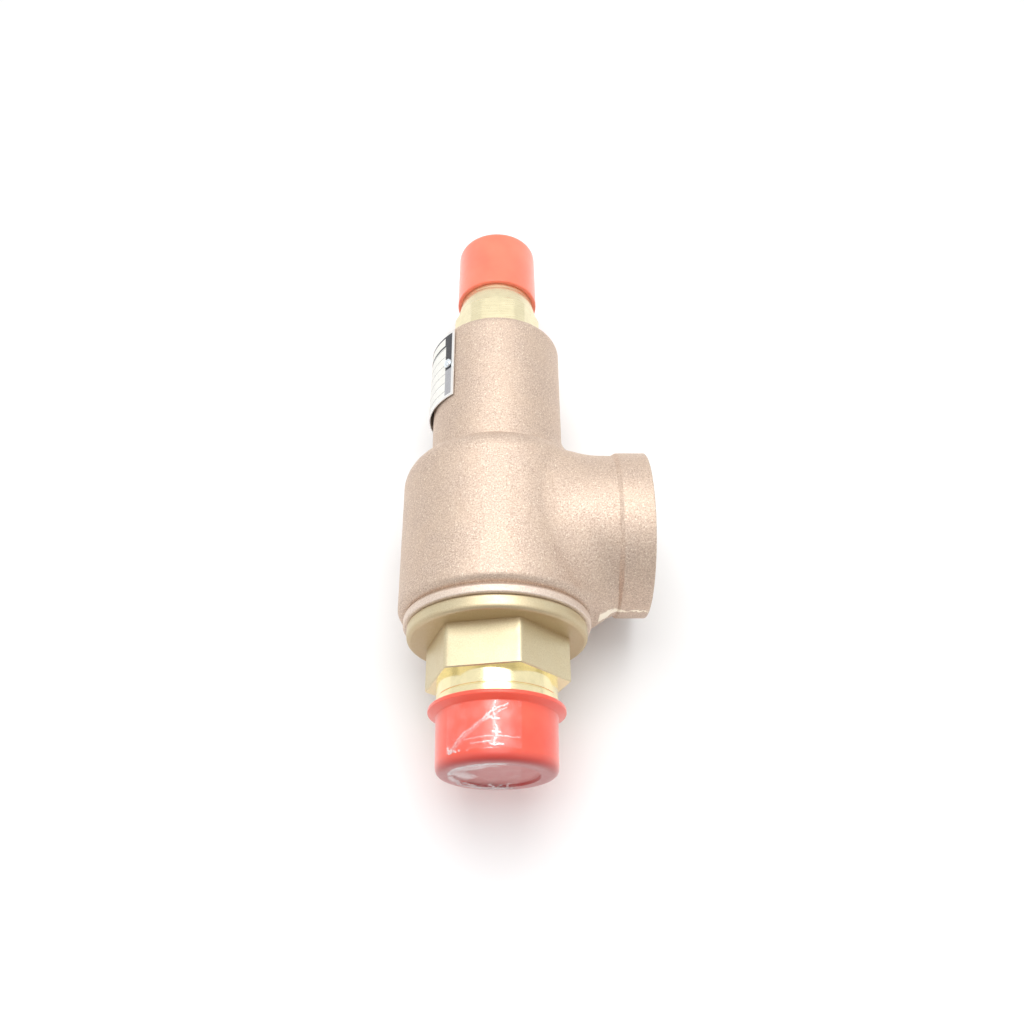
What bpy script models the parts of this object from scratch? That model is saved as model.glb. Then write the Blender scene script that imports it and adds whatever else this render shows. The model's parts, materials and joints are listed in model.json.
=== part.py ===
"""Pressure relief valve: an angle valve with a spring inside its bonnet, lying on its side.

Every turned piece shares one axis. In the valve's own frame that axis is local Z, and the empty
"valve_axis" lays it along world +Y, with the outlet along +X and the sky side along +Z.
Heights below are millimetres along that axis, from the outer end of the covered inlet.
"""

import math

import bmesh
import bpy
import numpy as np
from mathutils import Matrix

MM = 0.001
GAP = 0.3  # clearance between neighbouring pieces
TURN_STEPS = 40
INNER_STEPS = 24

# Inlet protector, a push-on plastic cap, and the clear film over it
TAPE_THICKNESS = 0.35
INLET_CAP_END = TAPE_THICKNESS + GAP
INLET_CAP_FLARE = 29.4  # where the underside of the lip leaves the wall
INLET_CAP_LIP_LOW = 31.4
INLET_CAP_MOUTH = 33.5
INLET_CAP_RADIUS = 30.8
INLET_CAP_TIP_RADIUS = 30.4
INLET_CAP_LIP_RADIUS = 35.0
INLET_CAP_CORNER = 4.5
INLET_CAP_WALL = 1.3
INLET_CAP_BORE = 29.6  # inner radius at the closed end, growing to the mouth
INLET_CAP_BORE_MOUTH = 30.6
TAPE_LEFT = -24.0
TAPE_RIGHT = 11.5
TAPE_TOP = 29.0
TAPE_COLUMNS = 9

# Nozzle: thread, plain ring, hex, flange, then the seat tube inside the body
THREAD_END = 3.0
THREAD_END_RADIUS = 29.35
THREAD_TOP = 31.5
THREAD_TOP_RADIUS = 29.85
THREAD_RELIEF_RADIUS = 28.6
RING_LOW = 34.0
RING_RADIUS = 31.0
INLET_BORE_RADIUS = 25.0
INLET_BORE_DEPTH = 24.0
THROAT_RADIUS = 17.2
THROAT_LOW = 52.0
NOZZLE_HEX_FLATS = 66.7
NOZZLE_HEX_LOW = 46.0
NOZZLE_HEX_CORNER_ANGLE = 17.7  # from the sky side towards the outlet
FLANGE_LOW = 69.1
FLANGE_TOP = 76.5
FLANGE_RADIUS = 47.4
FLANGE_NECK_RADIUS = 39.2
NOZZLE_THREAD_RADIUS = 40.0
NOZZLE_THREAD_TOP = 92.0
NOZZLE_SHOULDER_RADIUS = 27.0
SEAT_TUBE_RADIUS = 22.2
SEAT_TUBE_LOW = 97.0
SEAT_HEIGHT = 116.1
SEAT_RIM_RADIUS = 19.7
GASKET_RADII = (41.0, 45.2)
GASKET_TOP = 78.0

# Body casting
BODY_LOW = FLANGE_TOP + GAP
BODY_RING_RADIUS = 49.5
BODY_RING_TOP = 81.2
BODY_GROOVE_RADIUS = 48.4
BARREL_LOW = 82.5
BARREL_TOP = 175.0
BARREL_RADIUS = 52.6
SHOULDER_ROUND = 15.0
NECK_RADIUS = 37.8
NECK_TOP = 262.0
NECK_ROUND = 4.5
BOSS_RADIUS = 18.6
BOSS_TOP = 272.3
OUTLET_HEIGHT = 133.9
OUTLET_FACE = 81.3
BRANCH_RADIUS = 44.4
COLLAR_RADIUS = 45.8
COLLAR_INNER = 63.0
BRANCH_INNER = 8.0
BRANCH_FILLET = 16.0
NECK_FILLET = 2.5
CAVITY_RADIUS = 46.0
CAVITY_LOW = 97.0
CAVITY_TOP = 156.0
GUIDE_SEAT_RADIUS = 36.9
GUIDE_SEAT_LOW = 163.0
GUIDE_SEAT_TOP = 169.9
SPRING_BORE_RADIUS = 31.0
SPRING_BORE_TOP = 249.5
OUTLET_THREAD_RADIUS = 35.9
OUTLET_THREAD_END_RADIUS = 35.1
OUTLET_THREAD_DEPTH = 26.0
OUTLET_CHAMFER = 2.0
PASSAGE_RADIUS = 33.5
PASSAGE_INNER = 8.0
VOXEL = 4.0
CAST_DETAIL = 0.22  # share of the faces kept on the smooth casting

# Regulator ring and its lock screw
REGULATOR_LOW = 100.0
REGULATOR_TOP = 113.4
REGULATOR_RADIUS = 29.0
REGULATOR_BORE_RADIUS = 22.5
REGULATOR_NOTCHES = 24
REGULATOR_NOTCH = (5.0, 3.2, 16.0)
LOCK_SCREW_ANGLE = 225.0  # from the sky side towards the outlet
LOCK_SCREW_HEIGHT = 107.0
LOCK_SCREW_RADIUS = 3.4
LOCK_SCREW_OUT = 51.6
LOCK_SCREW_TIP = REGULATOR_RADIUS + 0.5
LOCK_SCREW_POINT_RADIUS = 1.3
LOCK_SCREW_SLOT = (1.0, 10.0, 3.0)

# Disc stack
HOLDER_RADIUS = 25.5
HOLDER_STEM_RADIUS = 14.0
HOLDER_STEM_TOP = 182.0
HOLDER_BORE_RADIUS = 7.1
HOLDER_BORE_LOW = 136.0
HOLDER_SKIRT_LOW = 115.2
HOLDER_SKIRT_RADIUS = 21.5
HOLDER_POCKET_LOW = 117.0
HOLDER_DISC_TOP = 127.0
GUIDE_HUB_RADIUS = 19.5
GUIDE_HUB_LOW = 140.0
GUIDE_BORE_RADIUS = 14.3
GUIDE_VENTS = 4
GUIDE_VENT_RADIUS = 2.8
GUIDE_VENT_CIRCLE = 27.5
SEAT_DISC_LOW = SEAT_HEIGHT + GAP
SEAT_DISC_RADIUS = 19.2
SEAT_DISC_THICKNESS = 3.6
RETAINER_RADIUS = 12.5
RETAINER_THICKNESS = 2.2
RETAINER_SCREW_RADIUS = 2.5
RETAINER_SCREW_TOP = 127.0
RETAINER_HEAD_RADIUS = 4.6
RETAINER_HEAD_HEIGHT = 3.2
RETAINER_SLOT = (12.0, 1.1, 2.6)
SPINDLE_RADIUS = 6.5
SPINDLE_TOP = 300.0
SPINDLE_COLLAR_RADIUS = 9.5
SPINDLE_COLLAR_TOP = 190.0
SPINDLE_POINT = 136.3

# Spring and its adjustment
STEP_RADIUS = 25.5
STEP_PILOT_RADIUS = 16.8
STEP_HUB_RADIUS = 13.0
STEP_RIM = 3.0
PILOT_HEIGHT = 5.0
PILOT_EASE = 2.0
LOWER_STEP_TOP = 196.0
LOWER_STEP_BORE = 6.9
UPPER_STEP_LOW = 240.3
UPPER_STEP_TOP = 245.8
UPPER_STEP_BORE = 7.2
SPRING_WIRE = 6.0
SPRING_RADIUS = 20.5
SPRING_TURNS = 4.5
SPRING_CLOSE_PITCH = 6.6  # pitch of the half turn at each end
SPRING_POINTS_PER_TURN = 14
ADJUSTER_RADIUS = 11.6
ADJUSTER_LOW = UPPER_STEP_TOP + GAP
ADJUSTER_TOP = 292.0
ADJUSTER_HEX_FLATS = 17.0
ADJUSTER_HEX_LOW = 283.0
ADJUSTER_BORE_RADIUS = 7.1
LOCK_NUT_FLATS = 30.0
LOCK_NUT_LOW = BOSS_TOP + GAP
LOCK_NUT_TOP = 281.0
LOCK_NUT_CORNER_ANGLE = 10.0
LOCK_NUT_CHAMFER = 1.8

# Brass top cap and the plastic protector over it
TOP_CAP_LOW = 263.6
TOP_CAP_HEX_FLATS = 49.2
TOP_CAP_HEX_HIGH = 286.4
TOP_CAP_HEX_CORNER_ANGLE = 31.4
TOP_CAP_CORNER_RADIUS = 26.5  # the corners are turned off to this
TOP_CAP_TAPER = ((25.0, 287.8), (22.8, 298.0))
TOP_CAP_RADIUS = 22.6
TOP_CAP_END = 340.0
TOP_CAP_THREAD_RADIUS = 19.0
TOP_CAP_THREAD_TOP = 293.0
TOP_CAP_BORE_RADIUS = 15.5
TOP_CAP_BORE_END = 331.0
CAP_GASKET_RADII = (19.0, 21.9)
TOP_PROTECTOR_LOW = 300.0
TOP_PROTECTOR_END = 343.5
TOP_PROTECTOR_RADIUS = 25.0
TOP_PROTECTOR_TIP_RADIUS = 24.5
TOP_PROTECTOR_BORES = (23.7, 23.1)  # inner radius at the mouth and at the closed end
TOP_PROTECTOR_WALL = 1.3
TOP_PROTECTOR_ROUND = 5.0

# Nameplate, curved round the neck on the side away from the outlet
PLATE_FIRST_ANGLE = 40.5  # from the sky side, away from the outlet
PLATE_LAST_ANGLE = 139.5
PLATE_LOW = 210.0
PLATE_TOP = 258.0
PLATE_INNER_RADIUS = 38.3
PLATE_THICKNESS = 0.6
PLATE_PIECES = 18
DRIVE_SCREW_ANGLES = {"drive_screw_upper": 47.0, "drive_screw_lower": 133.0}
DRIVE_SCREW_HEIGHT = 234.0
DRIVE_SCREW_HEAD_RADIUS = 2.6
DRIVE_SCREW_SHANK_RADIUS = 1.25
DRIVE_SCREW_HOLE_RADIUS = 1.6


def clear_scene():
    for thing in list(bpy.data.objects):
        bpy.data.objects.remove(thing)


def collection(name):
    made = bpy.data.collections.new(name)
    bpy.context.scene.collection.children.link(made)
    return made


def metal(name, colour, roughness):
    return principled(name, colour, roughness, 1.0)


def principled(name, colour, roughness, metallic):
    material = bpy.data.materials.new(name)
    material.use_nodes = True
    shader = material.node_tree.nodes["Principled BSDF"]
    shader.inputs["Base Color"].default_value = (*colour, 1.0)
    shader.inputs["Roughness"].default_value = roughness
    shader.inputs["Metallic"].default_value = metallic
    return material


def around(angle):
    """Local polar angle, in radians, of a direction in degrees from the sky side to the outlet."""
    return math.radians(angle - 90.0)


def place(thing, home, material=None):
    """Puts an object in its collection and on the valve's axis."""
    home.objects.link(thing)
    thing.parent = AXIS
    if home is CUTTERS:
        thing.hide_render = True
        thing.display_type = "WIRE"
    if material:
        thing.data.materials.append(material)
    return thing


def from_bmesh(name, shape):
    mesh = bpy.data.meshes.new(name)
    shape.to_mesh(mesh)
    shape.free()
    return bpy.data.objects.new(name, mesh)


def turned(name, outline, home, material=None, ring=False, steps=TURN_STEPS):
    """A turned solid. Its outline holds (radius, height) points, running down on the outer side."""
    mesh = bpy.data.meshes.new(name)
    points = [(radius * MM, 0.0, height * MM) for radius, height in outline]
    edges = [(i, i + 1) for i in range(len(points) - 1)]
    if ring:
        edges.append((len(points) - 1, 0))
    mesh.from_pydata(points, edges, [])
    thing = place(bpy.data.objects.new(name, mesh), home, material)
    screw = thing.modifiers.new("turn", "SCREW")
    screw.steps = steps
    screw.render_steps = steps
    screw.use_merge_vertices = True
    screw.merge_threshold = 0.00001
    screw.use_smooth_shade = True
    return thing


def flat_ring(name, radii, low, high, material):
    inner, outer = radii
    outline = [(inner, high), (outer, high), (outer, low), (inner, low)]
    return turned(name, outline, PARTS, material, ring=True, steps=INNER_STEPS)


def bore_cutter(name, radius, low, high):
    outline = [(0, high), (radius, high), (radius, low), (0, low)]
    return turned(name, outline, CUTTERS, steps=INNER_STEPS)


def block(name, size):
    """A box cutter, centred on the origin of its own frame."""
    shape = bmesh.new()
    bmesh.ops.create_cube(shape, size=1.0, matrix=Matrix.Diagonal([side * MM for side in size] + [1.0]))
    return place(from_bmesh(name, shape), CUTTERS)


def hex_prism(name, flats, low, high, corner_angle, home, material=None, edge=0.8):
    """A hexagonal prism with eased upright edges, and one corner at the stated angle."""
    shape = bmesh.new()
    radius = flats / math.sqrt(3.0)
    middle = Matrix.Translation((0.0, 0.0, (low + high) / 2.0 * MM))
    size = {"radius1": radius * MM, "radius2": radius * MM, "depth": (high - low) * MM}
    bmesh.ops.create_cone(shape, cap_ends=True, segments=6, matrix=middle, **size)
    first = shape.verts[:][0].co
    turn = around(corner_angle) - math.atan2(first.y, first.x)
    bmesh.ops.rotate(shape, verts=shape.verts, matrix=Matrix.Rotation(turn, 3, "Z"))
    upright = [e for e in shape.edges if abs(e.verts[0].co.z - e.verts[1].co.z) > MM]
    bmesh.ops.bevel(shape, geom=upright, offset=edge * MM, segments=2, profile=0.5, affect="EDGES")
    return place(from_bmesh(name, shape), home, material)


def boolean(thing, operation, *others):
    for other in others:
        modifier = thing.modifiers.new(other.name, "BOOLEAN")
        modifier.operation = operation
        modifier.object = other
    return thing


def drill(name, radius, first, last, angle, height):
    """A cylinder cutter along a radial direction, between two distances from the axis."""
    cutter = turned(name, [(0, last), (radius, last), (radius, first), (0, first)], CUTTERS, steps=16)
    return aim_outwards(cutter, angle, height)


def aim_outwards(thing, angle, height):
    """Turns a piece made along Z so that it points away from the axis."""
    thing.rotation_euler = (0.0, math.pi / 2.0, around(angle))
    thing.location = (0.0, 0.0, height * MM)
    return thing


def arc(centre, radius, first, last, pieces=4):
    """Points on an arc in the (radius, height) plane, with angles in degrees."""
    angles = [math.radians(first + (last - first) * i / pieces) for i in range(pieces + 1)]
    return [(centre[0] + radius * math.cos(a), centre[1] + radius * math.sin(a)) for a in angles]


# The casting: a barrel, a neck and a branch, blended into one another


def rounded_cylinder(radial, along, radius, low, high, edge):
    """Distance to a cylinder whose two rims are rounded."""
    out = radial - radius + edge
    past = np.abs(along - (low + high) / 2.0) - (high - low) / 2.0 + edge
    outside = np.hypot(np.maximum(out, 0.0), np.maximum(past, 0.0))
    return outside + np.minimum(np.maximum(out, past), 0.0) - edge


def slope_of(distance, points):
    """The slope of a distance at each point."""
    step = 0.01
    here = distance(points)
    return np.stack([distance(points + step * axis) - here for axis in np.eye(3)], 1) / step


def filleted(first, second, fillet):
    """Union of two shapes with a round fillet, which fades out where their skins run the same way."""

    def distance(points):
        a, b = first(points), second(points)
        slopes = slope_of(first, points) * slope_of(second, points)
        size = fillet * np.maximum(1.0 - slopes.sum(1) ** 2, 0.01)
        corner = np.hypot(np.maximum(size - a, 0.0), np.maximum(size - b, 0.0))
        return np.maximum(size, np.minimum(a, b)) - corner

    return distance


def barrel_distance(points):
    radial, along = np.hypot(points[:, 0], points[:, 1]), points[:, 2]
    shoulder = rounded_cylinder(radial, along, BARREL_RADIUS, 0.0, BARREL_TOP, SHOULDER_ROUND)
    foot = rounded_cylinder(radial, along, BARREL_RADIUS, BARREL_LOW, BARREL_TOP + 50.0, 3.0)
    return np.maximum(shoulder, foot)


def neck_distance(points):
    radial = np.hypot(points[:, 0], points[:, 1])
    return rounded_cylinder(radial, points[:, 2], NECK_RADIUS, OUTLET_HEIGHT, NECK_TOP, NECK_ROUND)


def branch_distance(points):
    across = np.hypot(points[:, 1], points[:, 2] - OUTLET_HEIGHT)
    return rounded_cylinder(across, points[:, 0], BRANCH_RADIUS, BRANCH_INNER, COLLAR_INNER + 6.0, 1.0)


def casting_distance(points):
    """Distance, in millimetres, from each point to the casting's outer skin."""
    joined = filleted(barrel_distance, neck_distance, NECK_FILLET)(points)
    joined = np.minimum(joined, filleted(barrel_distance, branch_distance, BRANCH_FILLET)(points))
    return np.minimum(joined, filleted(neck_distance, branch_distance, BRANCH_FILLET)(points))


def settle(points):
    """Moves points onto the casting's outer skin, along the slope of its distance."""
    for _ in range(12):
        slope = slope_of(casting_distance, points)
        steep = np.maximum((slope**2).sum(1), 0.2)
        points = points - (casting_distance(points) / steep)[:, None] * slope
    return points


def casting_skin():
    """The casting's smooth outside, as one closed mesh in a helper object."""
    shape = bmesh.new()
    blocks = [
        (BARREL_RADIUS, BARREL_LOW, BARREL_TOP, Matrix.Identity(4)),
        (NECK_RADIUS, OUTLET_HEIGHT, NECK_TOP, Matrix.Identity(4)),
        (
            BRANCH_RADIUS,
            BRANCH_INNER,
            COLLAR_INNER + 6.0,
            Matrix.Translation((0.0, 0.0, OUTLET_HEIGHT * MM)) @ Matrix.Rotation(math.pi / 2.0, 4, "Y"),
        ),
    ]
    for radius, low, high, where in blocks:
        middle = where @ Matrix.Translation((0.0, 0.0, (low + high) / 2.0 * MM))
        size = {"radius1": radius * MM, "radius2": radius * MM, "depth": (high - low) * MM}
        bmesh.ops.create_cone(shape, cap_ends=True, segments=64, matrix=middle, **size)
    rough = place(from_bmesh("casting_blocks", shape), CUTTERS)
    remesh = rough.modifiers.new("one_skin", "REMESH")
    remesh.mode = "VOXEL"
    remesh.voxel_size = VOXEL * MM
    graph = bpy.context.evaluated_depsgraph_get()
    skin = bpy.data.meshes.new_from_object(rough.evaluated_get(graph))
    bpy.data.objects.remove(rough)
    places = np.empty(len(skin.vertices) * 3)
    skin.vertices.foreach_get("co", places)
    places = settle(places.reshape(-1, 3) / MM) * MM
    skin.vertices.foreach_set("co", places.ravel())
    skin.name = "body_casting"
    return skin


def make_body():
    body = place(bpy.data.objects.new("body_casting", casting_skin()), PARTS, BRONZE)
    fewer = body.modifiers.new("fewer_faces", "DECIMATE")
    fewer.ratio = CAST_DETAIL
    ring = turned(
        "body_ring",
        [(0, 86), (BODY_GROOVE_RADIUS, 86), (BODY_GROOVE_RADIUS, BODY_RING_TOP + 1)]
        + [(BODY_RING_RADIUS, BODY_RING_TOP), (BODY_RING_RADIUS, BODY_LOW + 0.8)]
        + [(BODY_RING_RADIUS - 0.8, BODY_LOW), (0, BODY_LOW)],
        CUTTERS,
    )
    collar = turned(
        "outlet_collar",
        [(0, OUTLET_FACE), (COLLAR_RADIUS - 0.8, OUTLET_FACE), (COLLAR_RADIUS, OUTLET_FACE - 0.8)]
        + [(COLLAR_RADIUS, COLLAR_INNER + 1.0), (BRANCH_RADIUS - 1.5, COLLAR_INNER - 1.0)]
        + [(0, COLLAR_INNER - 1.0)],
        CUTTERS,
    )
    boss = turned(
        "cap_thread_boss",
        [(0, BOSS_TOP), (BOSS_RADIUS - 1, BOSS_TOP), (BOSS_RADIUS, BOSS_TOP - 1)]
        + [(BOSS_RADIUS, NECK_TOP - 4), (0, NECK_TOP - 4)],
        CUTTERS,
    )
    adjuster_hole = ADJUSTER_RADIUS + GAP
    nozzle_hole = NOZZLE_THREAD_RADIUS + GAP + 0.1
    gasket_pocket = GASKET_RADII[1] + GAP
    hollow = turned(
        "body_hollow",
        [(0, BOSS_TOP + 8), (adjuster_hole, BOSS_TOP + 8), (adjuster_hole, SPRING_BORE_TOP)]
        + [(SPRING_BORE_RADIUS - 2, SPRING_BORE_TOP), (SPRING_BORE_RADIUS, SPRING_BORE_TOP - 2)]
        + [(SPRING_BORE_RADIUS, GUIDE_SEAT_TOP), (GUIDE_SEAT_RADIUS, GUIDE_SEAT_TOP)]
        + [(GUIDE_SEAT_RADIUS, GUIDE_SEAT_LOW), (CAVITY_RADIUS, CAVITY_TOP), (CAVITY_RADIUS, CAVITY_LOW)]
        + [(nozzle_hole, NOZZLE_THREAD_TOP + 1), (nozzle_hole, GASKET_TOP + GAP)]
        + [(gasket_pocket, GASKET_TOP + GAP), (gasket_pocket, BODY_LOW - 7), (0, BODY_LOW - 7)],
        CUTTERS,
    )
    thread_inner = OUTLET_FACE - OUTLET_THREAD_DEPTH
    mouth = OUTLET_THREAD_RADIUS + OUTLET_CHAMFER
    outlet = turned(
        "outlet_hollow",
        [(0, OUTLET_FACE + 14), (mouth, OUTLET_FACE + 14), (mouth, OUTLET_FACE)]
        + [(OUTLET_THREAD_RADIUS, OUTLET_FACE - OUTLET_CHAMFER), (OUTLET_THREAD_END_RADIUS, thread_inner)]
        + [(PASSAGE_RADIUS, thread_inner - 1.5), (PASSAGE_RADIUS, PASSAGE_INNER), (0, PASSAGE_INNER)],
        CUTTERS,
    )
    for sideways in (collar, outlet):
        aim_outwards(sideways, 90.0, OUTLET_HEIGHT)
    lock_hole = LOCK_SCREW_RADIUS + GAP
    hole = drill("lock_screw_hole", lock_hole, 40, 60, LOCK_SCREW_ANGLE, LOCK_SCREW_HEIGHT)
    boolean(body, "UNION", ring, collar, boss)
    boolean(body, "DIFFERENCE", hollow, outlet, hole)
    for name, angle in DRIVE_SCREW_ANGLES.items():
        deep = NECK_RADIUS - 4.3
        hole = drill(f"{name}_hole", DRIVE_SCREW_HOLE_RADIUS, deep, 45, -angle, DRIVE_SCREW_HEIGHT)
        boolean(body, "DIFFERENCE", hole)


def make_nozzle():
    nozzle = turned(
        "inlet_nozzle",
        [(0, SEAT_HEIGHT), (SEAT_RIM_RADIUS, SEAT_HEIGHT), (SEAT_RIM_RADIUS, SEAT_HEIGHT - 1.6)]
        + [(SEAT_TUBE_RADIUS, SEAT_HEIGHT - 3.1), (SEAT_TUBE_RADIUS, SEAT_TUBE_LOW)]
        + [(NOZZLE_SHOULDER_RADIUS, NOZZLE_THREAD_TOP), (NOZZLE_THREAD_RADIUS - 1, NOZZLE_THREAD_TOP)]
        + [(NOZZLE_THREAD_RADIUS, NOZZLE_THREAD_TOP - 1), (NOZZLE_THREAD_RADIUS, FLANGE_TOP + 2)]
        + [(FLANGE_NECK_RADIUS, FLANGE_TOP + 1.2), (FLANGE_NECK_RADIUS, FLANGE_TOP)]
        + [(FLANGE_RADIUS - 1.4, FLANGE_TOP), (FLANGE_RADIUS, FLANGE_TOP - 1.4)]
        + [(FLANGE_RADIUS, FLANGE_LOW + 1.8), (FLANGE_RADIUS - 1.8, FLANGE_LOW), (RING_RADIUS, FLANGE_LOW)]
        + [(RING_RADIUS, RING_LOW + 0.6), (RING_RADIUS - 0.6, RING_LOW), (THREAD_RELIEF_RADIUS, RING_LOW)]
        + [(THREAD_RELIEF_RADIUS, THREAD_TOP + 1), (THREAD_TOP_RADIUS, THREAD_TOP)]
        + [(THREAD_END_RADIUS, THREAD_END + 1.6), (THREAD_END_RADIUS - 1.6, THREAD_END), (0, THREAD_END)],
        PARTS,
        BRASS,
    )
    low, high, angle = NOZZLE_HEX_LOW, (FLANGE_LOW + FLANGE_TOP) / 2.0, NOZZLE_HEX_CORNER_ANGLE
    prism = hex_prism("nozzle_hex", NOZZLE_HEX_FLATS, low, high, angle, CUTTERS, edge=1.5)
    bore = turned(
        "nozzle_bore",
        [(0, SEAT_HEIGHT + 9), (THROAT_RADIUS, SEAT_HEIGHT + 9), (THROAT_RADIUS, THROAT_LOW)]
        + [(INLET_BORE_RADIUS, INLET_BORE_DEPTH), (INLET_BORE_RADIUS, -5), (0, -5)],
        CUTTERS,
    )
    boolean(nozzle, "UNION", prism)
    boolean(nozzle, "DIFFERENCE", bore)
    flat_ring("nozzle_gasket", GASKET_RADII, BODY_LOW, GASKET_TOP, GASKET)


def make_regulator():
    ring = turned(
        "regulator_ring",
        [(REGULATOR_BORE_RADIUS, REGULATOR_TOP), (REGULATOR_RADIUS - 1.5, REGULATOR_TOP)]
        + [(REGULATOR_RADIUS, REGULATOR_TOP - 1.5), (REGULATOR_RADIUS, REGULATOR_LOW)]
        + [(REGULATOR_BORE_RADIUS, REGULATOR_LOW)],
        PARTS,
        BRONZE,
        ring=True,
        steps=INNER_STEPS,
    )
    notches = bmesh.new()
    for i in range(REGULATOR_NOTCHES):
        spin = Matrix.Rotation(2.0 * math.pi * i / REGULATOR_NOTCHES, 4, "Z")
        out = Matrix.Translation((REGULATOR_RADIUS * MM, 0.0, REGULATOR_LOW * MM))
        size = Matrix.Diagonal([side * MM for side in REGULATOR_NOTCH] + [1.0])
        bmesh.ops.create_cube(notches, size=1.0, matrix=spin @ out @ size)
    boolean(ring, "DIFFERENCE", place(from_bmesh("regulator_notches", notches), CUTTERS))
    screw = turned(
        "ring_lock_screw",
        [(0, LOCK_SCREW_OUT), (LOCK_SCREW_RADIUS - 0.4, LOCK_SCREW_OUT)]
        + [(LOCK_SCREW_RADIUS, LOCK_SCREW_OUT - 0.4), (LOCK_SCREW_RADIUS, LOCK_SCREW_TIP + 8.5)]
        + [(LOCK_SCREW_POINT_RADIUS, LOCK_SCREW_TIP + 7), (LOCK_SCREW_POINT_RADIUS, LOCK_SCREW_TIP + 0.4)]
        + [(LOCK_SCREW_POINT_RADIUS - 0.4, LOCK_SCREW_TIP), (0, LOCK_SCREW_TIP)],
        PARTS,
        STEEL,
        steps=20,
    )
    slot = block("lock_screw_slot", LOCK_SCREW_SLOT)
    slot.data.transform(Matrix.Translation((0.0, 0.0, LOCK_SCREW_OUT * MM)))
    for piece in (screw, slot):
        aim_outwards(piece, LOCK_SCREW_ANGLE, LOCK_SCREW_HEIGHT)
    boolean(screw, "DIFFERENCE", slot)


def make_disc_stack():
    pocket = SEAT_DISC_RADIUS + GAP
    pocket_top = SEAT_DISC_LOW + SEAT_DISC_THICKNESS + GAP
    screw_hole = RETAINER_SCREW_RADIUS + GAP
    turned(
        "disc_holder",
        [(0, HOLDER_BORE_LOW), (HOLDER_BORE_RADIUS, HOLDER_BORE_LOW), (HOLDER_BORE_RADIUS, HOLDER_STEM_TOP)]
        + [(HOLDER_STEM_RADIUS - 1, HOLDER_STEM_TOP), (HOLDER_STEM_RADIUS, HOLDER_STEM_TOP - 1)]
        + [(HOLDER_STEM_RADIUS, HOLDER_DISC_TOP + 2), (HOLDER_RADIUS, HOLDER_DISC_TOP)]
        + [(HOLDER_RADIUS, HOLDER_SKIRT_LOW), (HOLDER_SKIRT_RADIUS, HOLDER_SKIRT_LOW)]
        + [(HOLDER_SKIRT_RADIUS, HOLDER_POCKET_LOW), (pocket, HOLDER_POCKET_LOW), (pocket, pocket_top)]
        + [(screw_hole, pocket_top), (screw_hole, RETAINER_SCREW_TOP + 1), (0, RETAINER_SCREW_TOP + 1)],
        PARTS,
        BRASS,
        steps=INNER_STEPS,
    )
    disc_top = SEAT_DISC_LOW + SEAT_DISC_THICKNESS
    flat_ring("seat_disc", (screw_hole, SEAT_DISC_RADIUS), SEAT_DISC_LOW, disc_top, SEAT_POLYMER)
    under = SEAT_DISC_LOW - GAP
    retainer_low = under - RETAINER_THICKNESS
    turned(
        "disc_retainer",
        [(screw_hole, under), (RETAINER_RADIUS, under), (RETAINER_RADIUS, retainer_low + 0.8)]
        + [(RETAINER_RADIUS - 0.8, retainer_low), (screw_hole, retainer_low)],
        PARTS,
        STEEL,
        ring=True,
        steps=INNER_STEPS,
    )
    head = retainer_low - GAP
    head_low = head - RETAINER_HEAD_HEIGHT
    screw = turned(
        "disc_retainer_screw",
        [(0, RETAINER_SCREW_TOP), (RETAINER_SCREW_RADIUS - 0.5, RETAINER_SCREW_TOP)]
        + [(RETAINER_SCREW_RADIUS, RETAINER_SCREW_TOP - 0.5), (RETAINER_SCREW_RADIUS, head)]
        + [(RETAINER_HEAD_RADIUS, head), (RETAINER_HEAD_RADIUS, head_low + 0.8)]
        + [(RETAINER_HEAD_RADIUS - 0.8, head_low), (0, head_low)],
        PARTS,
        STEEL,
        steps=16,
    )
    slot = block("retainer_screw_slot", RETAINER_SLOT)
    slot.data.transform(Matrix.Translation((0.0, 0.0, head_low * MM)))
    boolean(screw, "DIFFERENCE", slot)
    flange_radius = GUIDE_SEAT_RADIUS - GAP
    flange_top, flange_low = GUIDE_SEAT_TOP - GAP, GUIDE_SEAT_LOW + 0.6
    guide = turned(
        "disc_guide",
        [(GUIDE_BORE_RADIUS, flange_top), (flange_radius, flange_top), (flange_radius, flange_low)]
        + [(GUIDE_HUB_RADIUS, flange_low), (GUIDE_HUB_RADIUS, GUIDE_HUB_LOW + 1)]
        + [(GUIDE_HUB_RADIUS - 1, GUIDE_HUB_LOW), (GUIDE_BORE_RADIUS, GUIDE_HUB_LOW)],
        PARTS,
        BRASS,
        ring=True,
        steps=INNER_STEPS,
    )
    through = [(0, flange_top + 5), (GUIDE_VENT_RADIUS, flange_top + 5), (GUIDE_VENT_RADIUS, flange_low - 5)]
    for i in range(GUIDE_VENTS):
        vent = turned(f"guide_vent_{i}", through + [(0, flange_low - 5)], CUTTERS, steps=12)
        angle = 2.0 * math.pi * (i + 0.5) / GUIDE_VENTS
        circle = GUIDE_VENT_CIRCLE * MM
        vent.location = (circle * math.cos(angle), circle * math.sin(angle), 0.0)
        boolean(guide, "DIFFERENCE", vent)


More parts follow.
